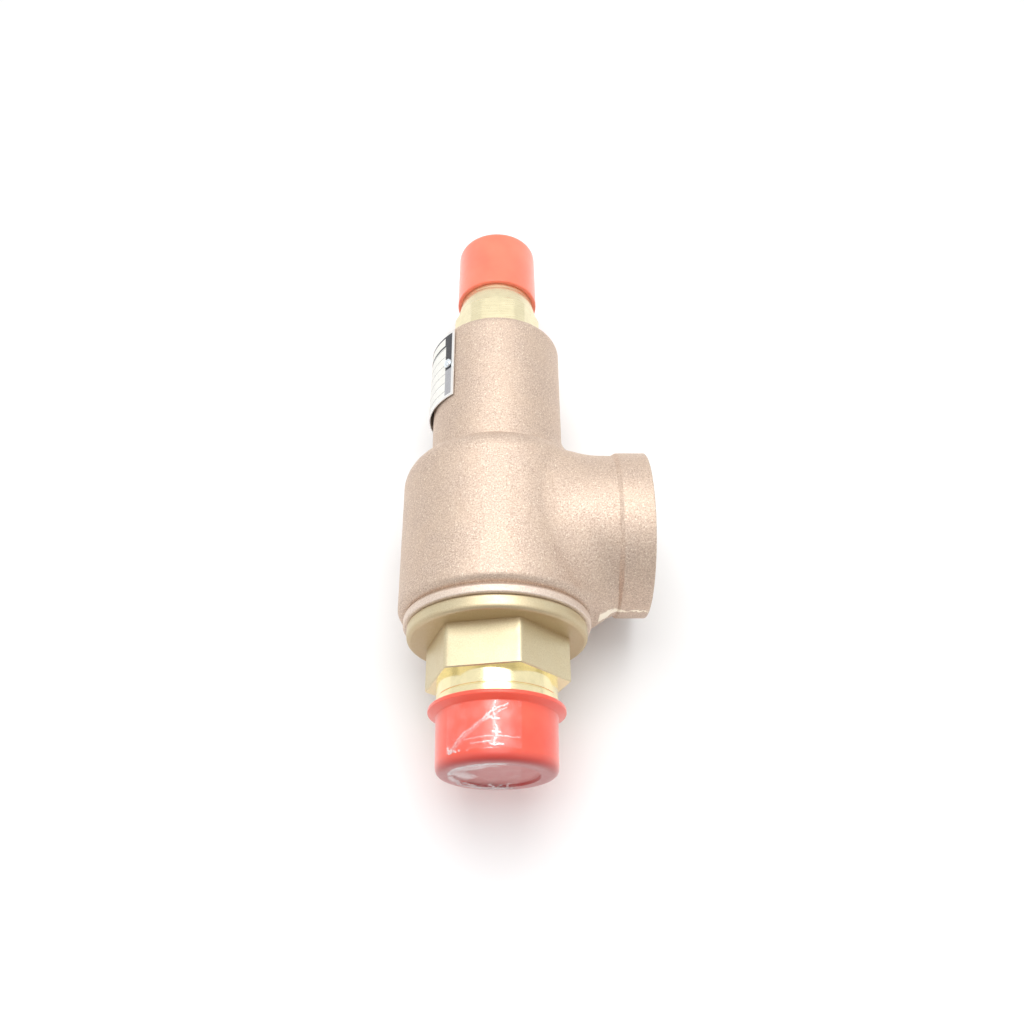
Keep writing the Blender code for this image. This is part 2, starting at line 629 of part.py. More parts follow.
def make_spring_set():
    turned(
        "spindle",
        [(0, SPINDLE_TOP), (SPINDLE_RADIUS - 1.2, SPINDLE_TOP), (SPINDLE_RADIUS, SPINDLE_TOP - 1.2)]
        + [(SPINDLE_RADIUS, SPINDLE_COLLAR_TOP), (SPINDLE_COLLAR_RADIUS, SPINDLE_COLLAR_TOP)]
        + [(SPINDLE_COLLAR_RADIUS, SPINDLE_COLLAR_TOP - 4), (SPINDLE_RADIUS, SPINDLE_COLLAR_TOP - 6)]
        + [(SPINDLE_RADIUS, SPINDLE_POINT + 4.7), (3, SPINDLE_POINT + 0.7), (0, SPINDLE_POINT)],
        PARTS,
        STEEL,
        steps=INNER_STEPS,
    )
    low = SPINDLE_COLLAR_TOP + GAP
    pilot_top = LOWER_STEP_TOP + PILOT_HEIGHT
    turned(
        "lower_spring_step",
        [(LOWER_STEP_BORE, pilot_top), (STEP_PILOT_RADIUS - PILOT_EASE, pilot_top)]
        + [(STEP_PILOT_RADIUS, pilot_top - PILOT_EASE), (STEP_PILOT_RADIUS, LOWER_STEP_TOP)]
        + [(STEP_RADIUS, LOWER_STEP_TOP), (STEP_RADIUS, LOWER_STEP_TOP - STEP_RIM)]
        + [(STEP_HUB_RADIUS, low), (LOWER_STEP_BORE, low)],
        PARTS,
        STEEL,
        ring=True,
        steps=INNER_STEPS,
    )
    pilot_low = UPPER_STEP_LOW - PILOT_HEIGHT + 0.2
    turned(
        "upper_spring_step",
        [(UPPER_STEP_BORE, UPPER_STEP_TOP), (STEP_HUB_RADIUS, UPPER_STEP_TOP)]
        + [(STEP_RADIUS, UPPER_STEP_LOW + STEP_RIM), (STEP_RADIUS, UPPER_STEP_LOW)]
        + [(STEP_PILOT_RADIUS, UPPER_STEP_LOW), (STEP_PILOT_RADIUS, pilot_low + PILOT_EASE)]
        + [(STEP_PILOT_RADIUS - PILOT_EASE, pilot_low), (UPPER_STEP_BORE, pilot_low)],
        PARTS,
        STEEL,
        ring=True,
        steps=INNER_STEPS,
    )
    make_spring(LOWER_STEP_TOP + GAP + SPRING_WIRE / 2.0, UPPER_STEP_LOW - GAP - SPRING_WIRE / 2.0)


def make_spring(low, high):
    """A coil with one closer half turn at each end."""
    close = SPRING_CLOSE_PITCH
    open_turns = SPRING_TURNS - 1.0
    pitch = (high - low - close) / open_turns
    count = int(SPRING_TURNS * SPRING_POINTS_PER_TURN) + 1
    curve = bpy.data.curves.new("main_spring", "CURVE")
    curve.dimensions = "3D"
    curve.bevel_depth = SPRING_WIRE / 2.0 * MM
    curve.bevel_resolution = 2
    curve.use_fill_caps = True
    spline = curve.splines.new("POLY")
    spline.points.add(count - 1)
    for i, point in enumerate(spline.points):
        turns = SPRING_TURNS * i / (count - 1)
        height = low + close * min(turns, 0.5) + pitch * min(max(turns - 0.5, 0.0), open_turns)
        height += close * max(turns - 0.5 - open_turns, 0.0)
        angle = 2.0 * math.pi * turns
        ring = SPRING_RADIUS * MM
        point.co = (ring * math.cos(angle), ring * math.sin(angle), height * MM, 1.0)
    place(bpy.data.objects.new("main_spring", curve), PARTS, SPRING_STEEL)


def make_adjuster():
    screw = turned(
        "adjusting_screw",
        [(0, ADJUSTER_HEX_LOW), (ADJUSTER_RADIUS - 1, ADJUSTER_HEX_LOW)]
        + [(ADJUSTER_RADIUS, ADJUSTER_HEX_LOW - 1), (ADJUSTER_RADIUS, ADJUSTER_LOW + 1)]
        + [(ADJUSTER_RADIUS - 1, ADJUSTER_LOW), (0, ADJUSTER_LOW)],
        PARTS,
        BRASS,
        steps=INNER_STEPS,
    )
    low = ADJUSTER_HEX_LOW - 4.0
    head = hex_prism("adjuster_hex", ADJUSTER_HEX_FLATS, low, ADJUSTER_TOP, 0.0, CUTTERS, edge=0.5)
    boolean(screw, "UNION", head)
    boolean(screw, "DIFFERENCE", bore_cutter("adjuster_bore", ADJUSTER_BORE_RADIUS, 240, 300))
    low, high, angle = LOCK_NUT_LOW, LOCK_NUT_TOP, LOCK_NUT_CORNER_ANGLE
    nut = hex_prism("adjusting_lock_nut", LOCK_NUT_FLATS, low, high, angle, PARTS, BRASS)
    wide = LOCK_NUT_FLATS / math.sqrt(3.0) + 0.5
    narrow = wide - LOCK_NUT_CHAMFER * math.sqrt(3.0)
    envelope = turned(
        "lock_nut_envelope",
        [(0, high + 0.3), (narrow, high + 0.3), (wide, high - LOCK_NUT_CHAMFER)]
        + [(wide, low + LOCK_NUT_CHAMFER), (narrow, low - 0.3), (0, low - 0.3)],
        CUTTERS,
        steps=INNER_STEPS,
    )
    boolean(nut, "INTERSECT", envelope)
    boolean(nut, "DIFFERENCE", bore_cutter("lock_nut_bore", ADJUSTER_RADIUS + GAP, 265, 290))


def make_top_cap():
    cap = turned(
        "top_cap",
        [(0, TOP_CAP_END), (TOP_CAP_RADIUS - 1.5, TOP_CAP_END), (TOP_CAP_RADIUS, TOP_CAP_END - 1.5)]
        + [(TOP_CAP_RADIUS, TOP_CAP_HEX_HIGH - 8), (0, TOP_CAP_HEX_HIGH - 8)],
        PARTS,
        BRASS,
    )
    taper_low, taper_top = TOP_CAP_TAPER
    beyond = taper_top[1] + 2.0
    angle = TOP_CAP_HEX_CORNER_ANGLE
    prism = hex_prism("top_cap_hex", TOP_CAP_HEX_FLATS, TOP_CAP_LOW, beyond, angle, CUTTERS)
    envelope = turned(
        "top_cap_hex_envelope",
        [(0, taper_top[1]), taper_top, taper_low, (TOP_CAP_CORNER_RADIUS, TOP_CAP_HEX_HIGH)]
        + [(TOP_CAP_CORNER_RADIUS, TOP_CAP_LOW + 0.8), (TOP_CAP_CORNER_RADIUS - 0.8, TOP_CAP_LOW - 0.01)]
        + [(0, TOP_CAP_LOW - 0.01)],
        CUTTERS,
    )
    bore = turned(
        "top_cap_bore",
        [(0, TOP_CAP_BORE_END), (TOP_CAP_BORE_RADIUS, TOP_CAP_BORE_END)]
        + [(TOP_CAP_BORE_RADIUS, TOP_CAP_THREAD_TOP + 3), (TOP_CAP_THREAD_RADIUS, TOP_CAP_THREAD_TOP)]
        + [(TOP_CAP_THREAD_RADIUS, TOP_CAP_LOW - 13), (0, TOP_CAP_LOW - 13)],
        CUTTERS,
    )
    boolean(prism, "INTERSECT", envelope)
    boolean(cap, "UNION", prism)
    boolean(cap, "DIFFERENCE", bore)
    low = NECK_TOP + GAP
    flat_ring("cap_gasket", CAP_GASKET_RADII, low, TOP_CAP_LOW - GAP, GASKET)


def make_protectors():
    corner = INLET_CAP_CORNER
    floor = INLET_CAP_END + INLET_CAP_WALL
    turned(
        "inlet_protector",
        [(0, floor), (INLET_CAP_BORE, floor), (INLET_CAP_BORE + 0.5, INLET_CAP_LIP_LOW)]
        + [(INLET_CAP_BORE_MOUTH, INLET_CAP_MOUTH), (INLET_CAP_LIP_RADIUS - 0.6, INLET_CAP_MOUTH)]
        + [(INLET_CAP_LIP_RADIUS, INLET_CAP_MOUTH - 0.6), (INLET_CAP_LIP_RADIUS, INLET_CAP_LIP_LOW + 0.5)]
        + [(INLET_CAP_LIP_RADIUS - 0.5, INLET_CAP_LIP_LOW), (INLET_CAP_RADIUS, INLET_CAP_FLARE)]
        + arc((INLET_CAP_TIP_RADIUS - corner, INLET_CAP_END + corner), corner, 0, -90)
        + [(0, INLET_CAP_END)],
        PARTS,
        RED_PLASTIC,
    )
    end, ease = TOP_PROTECTOR_END, TOP_PROTECTOR_ROUND
    mouth_bore, end_bore = TOP_PROTECTOR_BORES
    turned(
        "top_protector",
        [(0, end)]
        + arc((TOP_PROTECTOR_TIP_RADIUS - ease, end - ease), ease, 90, 0)
        + [(TOP_PROTECTOR_RADIUS, TOP_PROTECTOR_LOW + 0.4), (TOP_PROTECTOR_RADIUS - 0.3, TOP_PROTECTOR_LOW)]
        + [(mouth_bore, TOP_PROTECTOR_LOW), (end_bore, end - 3), (end_bore - 1.5, end - TOP_PROTECTOR_WALL)]
        + [(0, end - TOP_PROTECTOR_WALL)],
        PARTS,
        RED_PLASTIC,
    )
    make_tape()


def make_tape():
    """A strip of film from the lip, over the flat end and back up the far side."""
    inner = GAP
    corner = INLET_CAP_CORNER + inner
    end = INLET_CAP_END - inner
    strip = bmesh.new()
    rows = []
    for i in range(TAPE_COLUMNS + 1):
        x = TAPE_LEFT + (TAPE_RIGHT - TAPE_LEFT) * i / TAPE_COLUMNS
        half = math.sqrt((INLET_CAP_RADIUS + inner) ** 2 - x * x)
        side = [(half, TAPE_TOP), (half, end + corner)]
        bend = [
            (half - corner + corner * math.cos(a), end + corner - corner * math.sin(a))
            for a in (math.pi / 8.0, math.pi / 4.0, 3.0 * math.pi / 8.0, math.pi / 2.0)
        ]
        path = side + bend
        path += [(-out, height) for out, height in reversed(path)]
        rows.append([strip.verts.new((x * MM, -out * MM, height * MM)) for out, height in path])
    for left, right in zip(rows, rows[1:]):
        for i in range(len(left) - 1):
            strip.faces.new((left[i], left[i + 1], right[i + 1], right[i]))
    tape = place(from_bmesh("cap_tape", strip), PARTS, CLEAR_FILM)
    thick = tape.modifiers.new("film", "SOLIDIFY")
    thick.thickness = TAPE_THICKNESS * MM
    thick.offset = 1.0


def make_nameplate():
    plate = bmesh.new()
    rows = []
    for i in range(PLATE_PIECES + 1):
        share = i / PLATE_PIECES
        angle = around(-(PLATE_FIRST_ANGLE + (PLATE_LAST_ANGLE - PLATE_FIRST_ANGLE) * share))
        x, y = PLATE_INNER_RADIUS * math.cos(angle) * MM, PLATE_INNER_RADIUS * math.sin(angle) * MM
        rows.append([plate.verts.new((x, y, height * MM)) for height in (PLATE_LOW, PLATE_TOP)])
    for left, right in zip(rows, rows[1:]):
        plate.faces.new((left[0], left[1], right[1], right[0]))
    thing = place(from_bmesh("nameplate", plate), PARTS, ALUMINIUM)
    thick = thing.modifiers.new("sheet", "SOLIDIFY")
    thick.thickness = PLATE_THICKNESS * MM
    thick.offset = 1.0
    head = PLATE_INNER_RADIUS + PLATE_THICKNESS + GAP
    for name, angle in DRIVE_SCREW_ANGLES.items():
        hole = drill(f"{name}_plate_hole", DRIVE_SCREW_HOLE_RADIUS, 36, 42, -angle, DRIVE_SCREW_HEIGHT)
        boolean(thing, "DIFFERENCE", hole)
        screw = turned(
            name,
            [(0, head + 1.7), (1.3, head + 1.5), (2.2, head + 0.9), (DRIVE_SCREW_HEAD_RADIUS, head)]
            + [(DRIVE_SCREW_SHANK_RADIUS, head), (DRIVE_SCREW_SHANK_RADIUS, 35), (0, 34)],
            PARTS,
            STEEL,
            steps=16,
        )
        aim_outwards(screw, -angle, DRIVE_SCREW_HEIGHT)


clear_scene()
PARTS = collection("pressure_relief_valve")
CUTTERS = collection("cutters")
AXIS = bpy.data.objects.new("valve_axis", None)
AXIS.rotation_euler = (-math.pi / 2.0, 0.0, 0.0)
PARTS.objects.link(AXIS)

BRONZE = metal("cast_bronze", (0.72, 0.53, 0.41), 0.5)
BRASS = metal("brass", (0.82, 0.72, 0.42), 0.28)
STEEL = metal("steel", (0.62, 0.64, 0.66), 0.3)
SPRING_STEEL = metal("spring_steel", (0.35, 0.36, 0.38), 0.4)
ALUMINIUM = metal("aluminium_plate", (0.85, 0.86, 0.87), 0.4)
RED_PLASTIC = principled("red_plastic", (0.9, 0.12, 0.06), 0.35, 0.0)
CLEAR_FILM = principled("clear_film", (0.9, 0.9, 0.9), 0.1, 0.0)
GASKET = principled("gasket", (0.35, 0.34, 0.32), 0.7, 0.0)
SEAT_POLYMER = principled("seat_polymer", (0.85, 0.84, 0.8), 0.4, 0.0)

make_body()
make_nozzle()
make_regulator()
make_disc_stack()
make_spring_set()
make_adjuster()
make_top_cap()
make_protectors()
make_nameplate()
bpy.context.view_layer.update()
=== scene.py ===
"""Pressure relief valve lying on a pale floor: the looks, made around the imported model.

Shapes are made in the valve's own frame, in millimetres, with its long axis along Z, and then laid
along world +Y. A turned outline holds (radius, height) points that run down on the outer side; a
third number eases that corner with an arc of about that size.
"""

import json
import math

import bmesh
import bpy
import numpy as np
from mathutils import Matrix, Vector, noise


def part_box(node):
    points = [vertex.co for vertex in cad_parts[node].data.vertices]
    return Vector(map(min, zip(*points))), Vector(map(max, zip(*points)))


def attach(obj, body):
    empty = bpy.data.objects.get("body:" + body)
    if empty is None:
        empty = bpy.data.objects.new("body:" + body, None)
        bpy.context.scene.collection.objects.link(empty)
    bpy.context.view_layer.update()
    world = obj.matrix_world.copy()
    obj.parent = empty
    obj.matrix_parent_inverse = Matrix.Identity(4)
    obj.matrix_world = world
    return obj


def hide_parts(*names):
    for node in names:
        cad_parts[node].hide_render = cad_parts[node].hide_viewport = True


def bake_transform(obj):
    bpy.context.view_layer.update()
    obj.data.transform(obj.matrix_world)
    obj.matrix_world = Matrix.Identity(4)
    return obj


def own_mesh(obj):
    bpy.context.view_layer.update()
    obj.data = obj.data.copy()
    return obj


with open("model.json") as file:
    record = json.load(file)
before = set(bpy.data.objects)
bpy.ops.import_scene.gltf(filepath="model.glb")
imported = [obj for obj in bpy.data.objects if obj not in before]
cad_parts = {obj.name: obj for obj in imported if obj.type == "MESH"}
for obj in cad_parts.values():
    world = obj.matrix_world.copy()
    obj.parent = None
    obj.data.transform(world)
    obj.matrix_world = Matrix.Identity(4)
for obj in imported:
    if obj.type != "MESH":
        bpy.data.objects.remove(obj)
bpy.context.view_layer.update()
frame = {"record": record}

MM = 0.001
LAID = Matrix.Rotation(-math.pi / 2.0, 4, "X") @ Matrix.Scale(MM, 4)
GAP = 0.3
BODY = "valve_body"


def span(node):
    """Lowest and highest place of a CAD node along the valve's axis, in millimetres."""
    low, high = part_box(node)
    return low.y / MM, high.y / MM


def reach(node):
    """How far a CAD node goes out from the valve's axis, in millimetres."""
    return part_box(node)[1].z / MM


# Places and sizes read from the frame

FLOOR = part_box("body_casting")[0].z
BODY_LOW, BOSS_TOP = span("body_casting")
OUTLET_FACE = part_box("body_casting")[1].x / MM
OUTLET_MOUNT = next(m for m in frame["record"]["mounts"] if m["name"] == "outlet_face")
OUTLET_HEIGHT = OUTLET_MOUNT["pos_m"][1] / MM
JOINTS = frame["record"]["behaviour"]["joints"]
THREAD_END, SEAT_HEIGHT = span("inlet_nozzle")
FLANGE_RADIUS = reach("inlet_nozzle")
CAP_LOW, CAP_END = span("top_cap")
TOP_PROTECTOR_LOW, TOP_PROTECTOR_END = span("top_protector")
INLET_CAP_END, INLET_CAP_MOUTH = span("inlet_protector")
INLET_LIP_RADIUS = reach("inlet_protector")
PLATE_LOW, PLATE_TOP = span("nameplate")
REGULATOR_LOW, REGULATOR_TOP = span("regulator_ring")
ADJUSTER_LOW, ADJUSTER_TOP = span("adjusting_screw")
NUT_LOW, NUT_TOP = span("adjusting_lock_nut")
SPRING_LOW, SPRING_TOP = span("main_spring")
LOCK_SCREW_AXIS = Vector(next(j for j in JOINTS if j["name"] == "ring_lock_screw_out")["axis"])

# Sizes of the shapes, in millimetres

FLANGE_TOP = 76.5
FLANGE_LOW = 69.1
NOZZLE_HEX_LOW = 46.0
NOZZLE_HEX_FLATS = 66.7
NOZZLE_HEX_CORNER = 17.7
RING_RADIUS = 31.0
RING_LOW = 34.0
THREAD_TOP = 31.5
THREAD_RADII = (29.35, 29.85)  # at the pipe thread's end and at its top
INLET_BORE = 25.0
THROAT = 17.2
INLET_THREAD_PITCH = 25.4 / 11.5
OUTLET_THREAD_PITCH = 25.4 / 8.0
BARREL_RADIUS = 52.6
BARREL_LOW = 82.5
BARREL_TOP = 175.0
SHOULDER_ROUND = 15.0
FOOT_ROUND = 4.5
NECK_RADIUS = 37.8
NECK_TOP = 262.0
NECK_ROUND = 4.5
BRANCH_RADIUS = 44.4
BRANCH_INNER = 8.0
BRANCH_OUTER = 69.0
COLLAR_INNER = 63.0
COLLAR_RADIUS = 45.8
BRANCH_FILLET = 16.0
NECK_FILLET = 2.5
BODY_RING_RADIUS = 49.5
BODY_RING_TOP = 81.2
GUIDE_SEAT = (163.0, 169.9)  # low, top
GUIDE_SEAT_RADIUS = 36.9
SPINDLE_RADIUS = 6.5
DISC_SCREW_HOLE = 2.8
HOLDER_RADIUS = 25.5
STEP_RADIUS = 25.5
CAP_RADIUS = 22.6
CAP_HEX_FLATS = 49.2
CAP_HEX_CORNER = 31.4
CAP_CORNER_RADIUS = 26.5
CAP_HEX_TOP = 286.4
CAP_TAPER = ((22.8, 298.0), (25.0, 287.8))  # (radius, height) at its top and at its foot
INLET_CAP_RADIUS = 30.8
INLET_CAP_TIP = 30.4
INLET_CAP_FLARE = 29.4
INLET_CAP_ROUND = 8.0
INLET_CAP_LIP_LOW = 31.4
FILM_SIDES = (-24.0, 11.5)
FILM_TOP = 29.0
PLATE_RADIUS = 38.3
PLATE_BULGE = 1.3
PLATE_THICKNESS = 0.6
PLATE_ANGLES = (40.5, 139.5)
PLATE_BORDER = 1.8
PLATE_COLUMN = 7.0
PLATE_HEADER = 10.0
PLATE_RULES = (5.0, 6.4, 0.25)  # first height, step, thickness
DRIVE_SCREWS = {"drive_screw_upper": 47.0, "drive_screw_lower": 133.0}
DRIVE_SCREW_HEIGHT = 234.0
LOCK_SCREW_HEIGHT = 107.0
SPRING_WIRE = 6.0
SPRING_RING = 20.5
SPRING_TURNS = 4.5
SPRING_CLOSE = 6.6  # pitch of the half turn at each end
SPRING_SPLIT = 0.61  # how far up the lower stretch goes, as a share of the spring
LOCK_SCREW_ANGLE = math.degrees(math.atan2(LOCK_SCREW_AXIS.x, LOCK_SCREW_AXIS.z))

# Light of the surroundings. It grows between two places, which are counted from -1 towards the
# inlet to 1 towards the cap: both places come first, then the strength at each.
SKY_STRENGTHS = (-0.95, 0.6, 0.58, 1.0)

# Lamps: place and size in metres, and power. All of them point at one place.
LAMP_TARGET = Vector((0.0, 0.15, 0.0))
LAMPS = {
    "overhead": ((0.0, 0.32, 0.9), (0.75, 0.7), 5.2),
    "left_fill": ((-0.9, -0.1, 0.6), (0.6, 0.8), 0.6),
    "right_fill": ((0.9, -0.1, 0.6), (0.6, 0.8), 0.6),
}

# The photograph's viewpoint: from above the inlet's end, looking along the valve
CAMERA_PLACE = (0.0, -0.1137, 0.457)
CAMERA_TILT = 29.9
CAMERA_LENS = 32.8
CAMERA_SHIFT = 0.01465

# Half the floor's width, in metres
FLOOR_HALF = 3.0


# Materials

CREASE_AND_HIGHLIGHT_MARK = "crease_and_highlight"


class Finish:
    """A node material: add() puts in a node, with numbers or links on its sockets."""

    def __init__(self, name, **settings):
        self.material = bpy.data.materials.new(name)
        self.material.use_nodes = True
        self.tree = self.material.node_tree
        self.shader = self.tree.nodes["Principled BSDF"]
        for socket, value in settings.items():
            self.shader.inputs[socket.replace("_", " ")].default_value = value
        self.place = self.add("TexCoord").outputs["Object"]

    def add(self, kind, sockets=None, **attributes):
        node = self.tree.nodes.new("ShaderNode" + kind)
        for key, value in attributes.items():
            setattr(node, key, value)
        for key, value in (sockets or {}).items():
            if isinstance(value, bpy.types.NodeSocket):
                self.tree.links.new(value, node.inputs[key])
            else:
                node.inputs[key].default_value = value
        return node

    def noise(self, size_mm, detail=2.0, rough=0.5, place=None, distortion=0.0):
        """Noise whose lumps are about size_mm across."""
        sockets = {"Vector": place or self.place, "Scale": 1.0 / (size_mm * MM), "Detail": detail}
        sockets.update({"Roughness": rough, "Distortion": distortion})
        return self.add("TexNoise", sockets).outputs["Fac"]

    def cells(self, size_mm):
        """Distance to the nearest of scattered points, which lie about size_mm apart."""
        sockets = {"Vector": self.place, "Scale": 1.0 / (size_mm * MM)}
        return self.add("TexVoronoi", sockets).outputs["Distance"]

    def math(self, operation, first, second=0.0, third=0.0):
        return self.add("Math", {0: first, 1: second, 2: third}, operation=operation).outputs[0]

    def ramp(self, factor, *stops):
        """A colour or grey ramp through (place, value) stops."""
        node = self.add("ValToRGB", {"Fac": factor})
        elements = node.color_ramp.elements
        while len(elements) < len(stops):
            elements.new(0.5)
        for element, (position, value) in zip(elements, stops):
            element.position = position
            element.color = (value, value, value, 1.0) if isinstance(value, float) else (*value, 1.0)
        return node.outputs["Color"]

    def mix(self, factor, first, second):
        node = self.add("Mix", {"Factor": factor}, data_type="RGBA")
        for socket, value in ((node.inputs[6], first), (node.inputs[7], second)):
            if isinstance(value, bpy.types.NodeSocket):
                self.tree.links.new(value, socket)
            else:
                socket.default_value = (*value, 1.0)
        return node.outputs[2]

    def split(self):
        """The three coordinates of the place, world X, Y and Z at rest."""
        return self.add("SeparateXYZ", {0: self.place}).outputs

    def stretched(self, x, y, z):
        return self.add("Mapping", {"Vector": self.place, "Scale": (x, y, z)}).outputs["Vector"]

    def colour(self, socket):
        self.tree.links.new(socket, self.shader.inputs["Base Color"])

    def roughness(self, socket):
        self.tree.links.new(socket, self.shader.inputs["Roughness"])

    def bump(self, *layers):
        """Stacks (height socket, depth in millimetres) layers into the normal."""
        normal = None
        for height, depth in layers:
            sockets = {"Height": height, "Distance": depth * MM, "Strength": 1.0}
            if normal is not None:
                sockets["Normal"] = normal
            normal = self.add("Bump", sockets).outputs["Normal"]
        self.tree.links.new(normal, self.shader.inputs["Normal"])


def ground_seam(finish, x, y, z):
    """Where the parting line is ground bare: along the collar, on its side towards the inlet."""
    ragged = finish.math("MULTIPLY_ADD", finish.noise(3.0, 3.0), 8.0 * MM, -4.0 * MM)
    off_seam = finish.math("ABSOLUTE", finish.math("ADD", z, ragged))
    inwards = finish.math("SUBTRACT", (COLLAR_INNER + 4.0) * MM, x)
    half_width = finish.math("MAXIMUM", finish.math("MULTIPLY_ADD", inwards, 0.45, 0.9 * MM), 0.9 * MM)
    seam = finish.ramp(finish.math("DIVIDE", off_seam, half_width), (0.7, 1.0), (1.0, 0.0))
    limits = [
        finish.math("GREATER_THAN", x, (COLLAR_INNER - 9.0) * MM),
        finish.math("LESS_THAN", x, (OUTLET_FACE - 0.6) * MM),
        finish.math("LESS_THAN", y, (OUTLET_HEIGHT - 20.0) * MM),
    ]
    for inside in limits:
        seam = finish.math("MULTIPLY", seam, inside)
    return seam


def cast_bronze():
    """Blasted sand casting: pinkish tan, a fine grain, darker pits and small bright specks; the body ring
    carries a painted highlight.
    """
    finish = Finish("cast_bronze", Metallic=0.8, Roughness=0.5)
    grain = finish.noise(0.75, 3.0, 0.65)
    patches = finish.noise(16.0, 3.0, 0.55)
    tones = (0.32, (0.46, 0.335, 0.265)), (0.5, (0.62, 0.485, 0.395)), (0.68, (0.79, 0.665, 0.55))
    tone = finish.ramp(grain, *tones)
    warm = finish.mix(finish.ramp(patches, (0.35, 0.0), (0.7, 0.3)), tone, (0.74, 0.58, 0.44))
    x, y, z = finish.split()
    # Painted highlight: the body ring is mixed towards a pale tone, standing in for the sheen along its
    # rounded bead.
    ring_painted_highlight_mask = finish.math("LESS_THAN", y, (BODY_RING_TOP + 0.4) * MM)
    warm = finish.mix(finish.math("MULTIPLY", ring_painted_highlight_mask, 0.4), warm, (0.98, 0.87, 0.78))
    specks = finish.ramp(finish.cells(2.2), (0.1, 1.0), (0.19, 0.0))
    bright = finish.math("MAXIMUM", ground_seam(finish, x, y, z), finish.math("MULTIPLY", specks, 0.6))
    finish.colour(finish.mix(bright, warm, (0.98, 0.9, 0.76)))
    finish.roughness(finish.ramp(grain, (0.3, 0.62), (0.7, 0.46)))
    finish.bump((finish.noise(2.6, 2.0), 0.12), (grain, 0.2))
    return finish.material


def machined(name, colour, roughness, bands_mm, depth=0.006):
    """Turned metal: fine rings round the axis over a faint mottle."""
    finish = Finish(name, Metallic=1.0, Roughness=roughness)
    light = tuple(min(1.0, c * 1.08 + 0.02) for c in colour)
    mottle = finish.noise(5.0, 3.0)
    finish.colour(finish.ramp(mottle, (0.3, colour), (0.7, light)))
    rings = finish.noise(bands_mm, 2.0, 0.6, finish.stretched(0.02, 1.0, 0.02))
    finish.roughness(finish.ramp(rings, (0.3, roughness * 0.8), (0.75, roughness * 1.25)))
    finish.bump((rings, depth), (finish.noise(0.5, 2.0), depth * 0.5))
    return finish.material


def blasted_brass():
    """Nozzle brass: satin faces with a fine even grain, and painted shade where the hex meets the flange."""
    finish = Finish("nozzle_brass", Metallic=1.0, Roughness=0.4)
    grain = finish.noise(0.5, 2.0, 0.65)
    stain = finish.noise(9.0, 3.0, 0.6)
    base = finish.ramp(grain, (0.3, (0.6, 0.51, 0.33)), (0.7, (0.75, 0.67, 0.47)))
    stained = finish.mix(finish.ramp(stain, (0.4, 0.0), (0.75, 0.35)), base, (0.68, 0.56, 0.35))
    along = finish.math("MULTIPLY", finish.split()[1], 1.0 / MM)
    hex_height = FLANGE_LOW - NOZZLE_HEX_LOW
    up_hex = finish.math("DIVIDE", finish.math("SUBTRACT", along, NOZZLE_HEX_LOW), hex_height)
    # Painted shade: the top of the hex, just under the flange, is darkened towards brown, standing in for
    # the shade and dark reflections there.
    stops = (0.68, 0.0), (0.78, 0.6), (0.83, 0.5), (0.9, 0.1)
    dark = finish.ramp(finish.math("MULTIPLY", up_hex, 0.8), *stops)
    finish.colour(finish.mix(dark, stained, (0.46, 0.33, 0.19)))
    finish.roughness(finish.ramp(stain, (0.3, 0.42), (0.7, 0.5)))
    finish.bump((grain, 0.05))
    return finish.material


def red_plastic(name, deep, pale, end):
    """Soft moulded plastic: a satin skin over a faintly see-through red, darker towards its flat end, which
    is painted shade.
    """
    settings = {"Subsurface_Weight": 0.25, "Subsurface_Scale": 0.0025, "IOR": 1.6}
    settings.update({"Sheen_Weight": 0.5, "Sheen_Roughness": 0.4})
    finish = Finish(name, Metallic=0.0, Roughness=0.36, **settings)
    cloud = finish.noise(20.0, 2.0)
    red = finish.ramp(cloud, (0.3, deep), (0.7, pale))
    # Painted shade: towards its flat end the red is mixed into the end colour, which is darker for the inlet
    # protector.
    height = finish.math("DIVIDE", finish.split()[1], 8.0 * MM)
    finish.colour(finish.mix(finish.ramp(height, (0.1, 1.0), (0.8, 0.0)), red, end))
    finish.roughness(finish.ramp(finish.noise(2.0, 2.0), (0.3, 0.32), (0.7, 0.42)))
    finish.bump((finish.noise(9.0, 1.0), 0.12), (finish.noise(0.35, 1.0), 0.005))
    return finish.material


def clear_film():
    """Thin tape, nearly clear; its creases, which the mesh marks, are made whitish: partly real creases,
    partly painted highlight streaks where the crinkled film catches light.
    """
    finish = Finish("clear_film", Metallic=0.6, Roughness=0.26)
    haze = finish.noise(5.0, 2.0)
    finish.colour(finish.ramp(haze, (0.3, (0.93, 0.9, 0.9)), (0.7, (1.0, 0.98, 0.98))))
    # Where the mark is strong the white film turns opaque: whitish creases and painted highlight streaks.
    crease_and_highlight = finish.add("Attribute", attribute_name=CREASE_AND_HIGHLIGHT_MARK).outputs["Fac"]
    frayed = finish.ramp(finish.noise(0.9, 3.0, 0.7), (0.35, 0.3), (0.6, 1.0))
    ragged = finish.math("MULTIPLY", crease_and_highlight, frayed)
    veil = finish.ramp(haze, (0.4, 0.02), (0.8, 0.07))
    finish.tree.links.new(finish.math("MAXIMUM", veil, ragged), finish.shader.inputs["Alpha"])
    finish.bump((finish.noise(2.5, 2.0, 0.5, distortion=0.8), 0.15))
    return finish.material


def plate_metal():
    finish = Finish("plate_metal", Metallic=0.75, Roughness=0.34)
    brushed = finish.noise(0.6, 3.0, 0.6, finish.stretched(1.0, 0.04, 1.0))
    finish.colour(finish.ramp(brushed, (0.3, (0.8, 0.8, 0.78)), (0.7, (0.92, 0.92, 0.9))))
    finish.roughness(finish.ramp(brushed, (0.3, 0.28), (0.7, 0.42)))
    finish.bump((brushed, 0.004))
    return finish.material


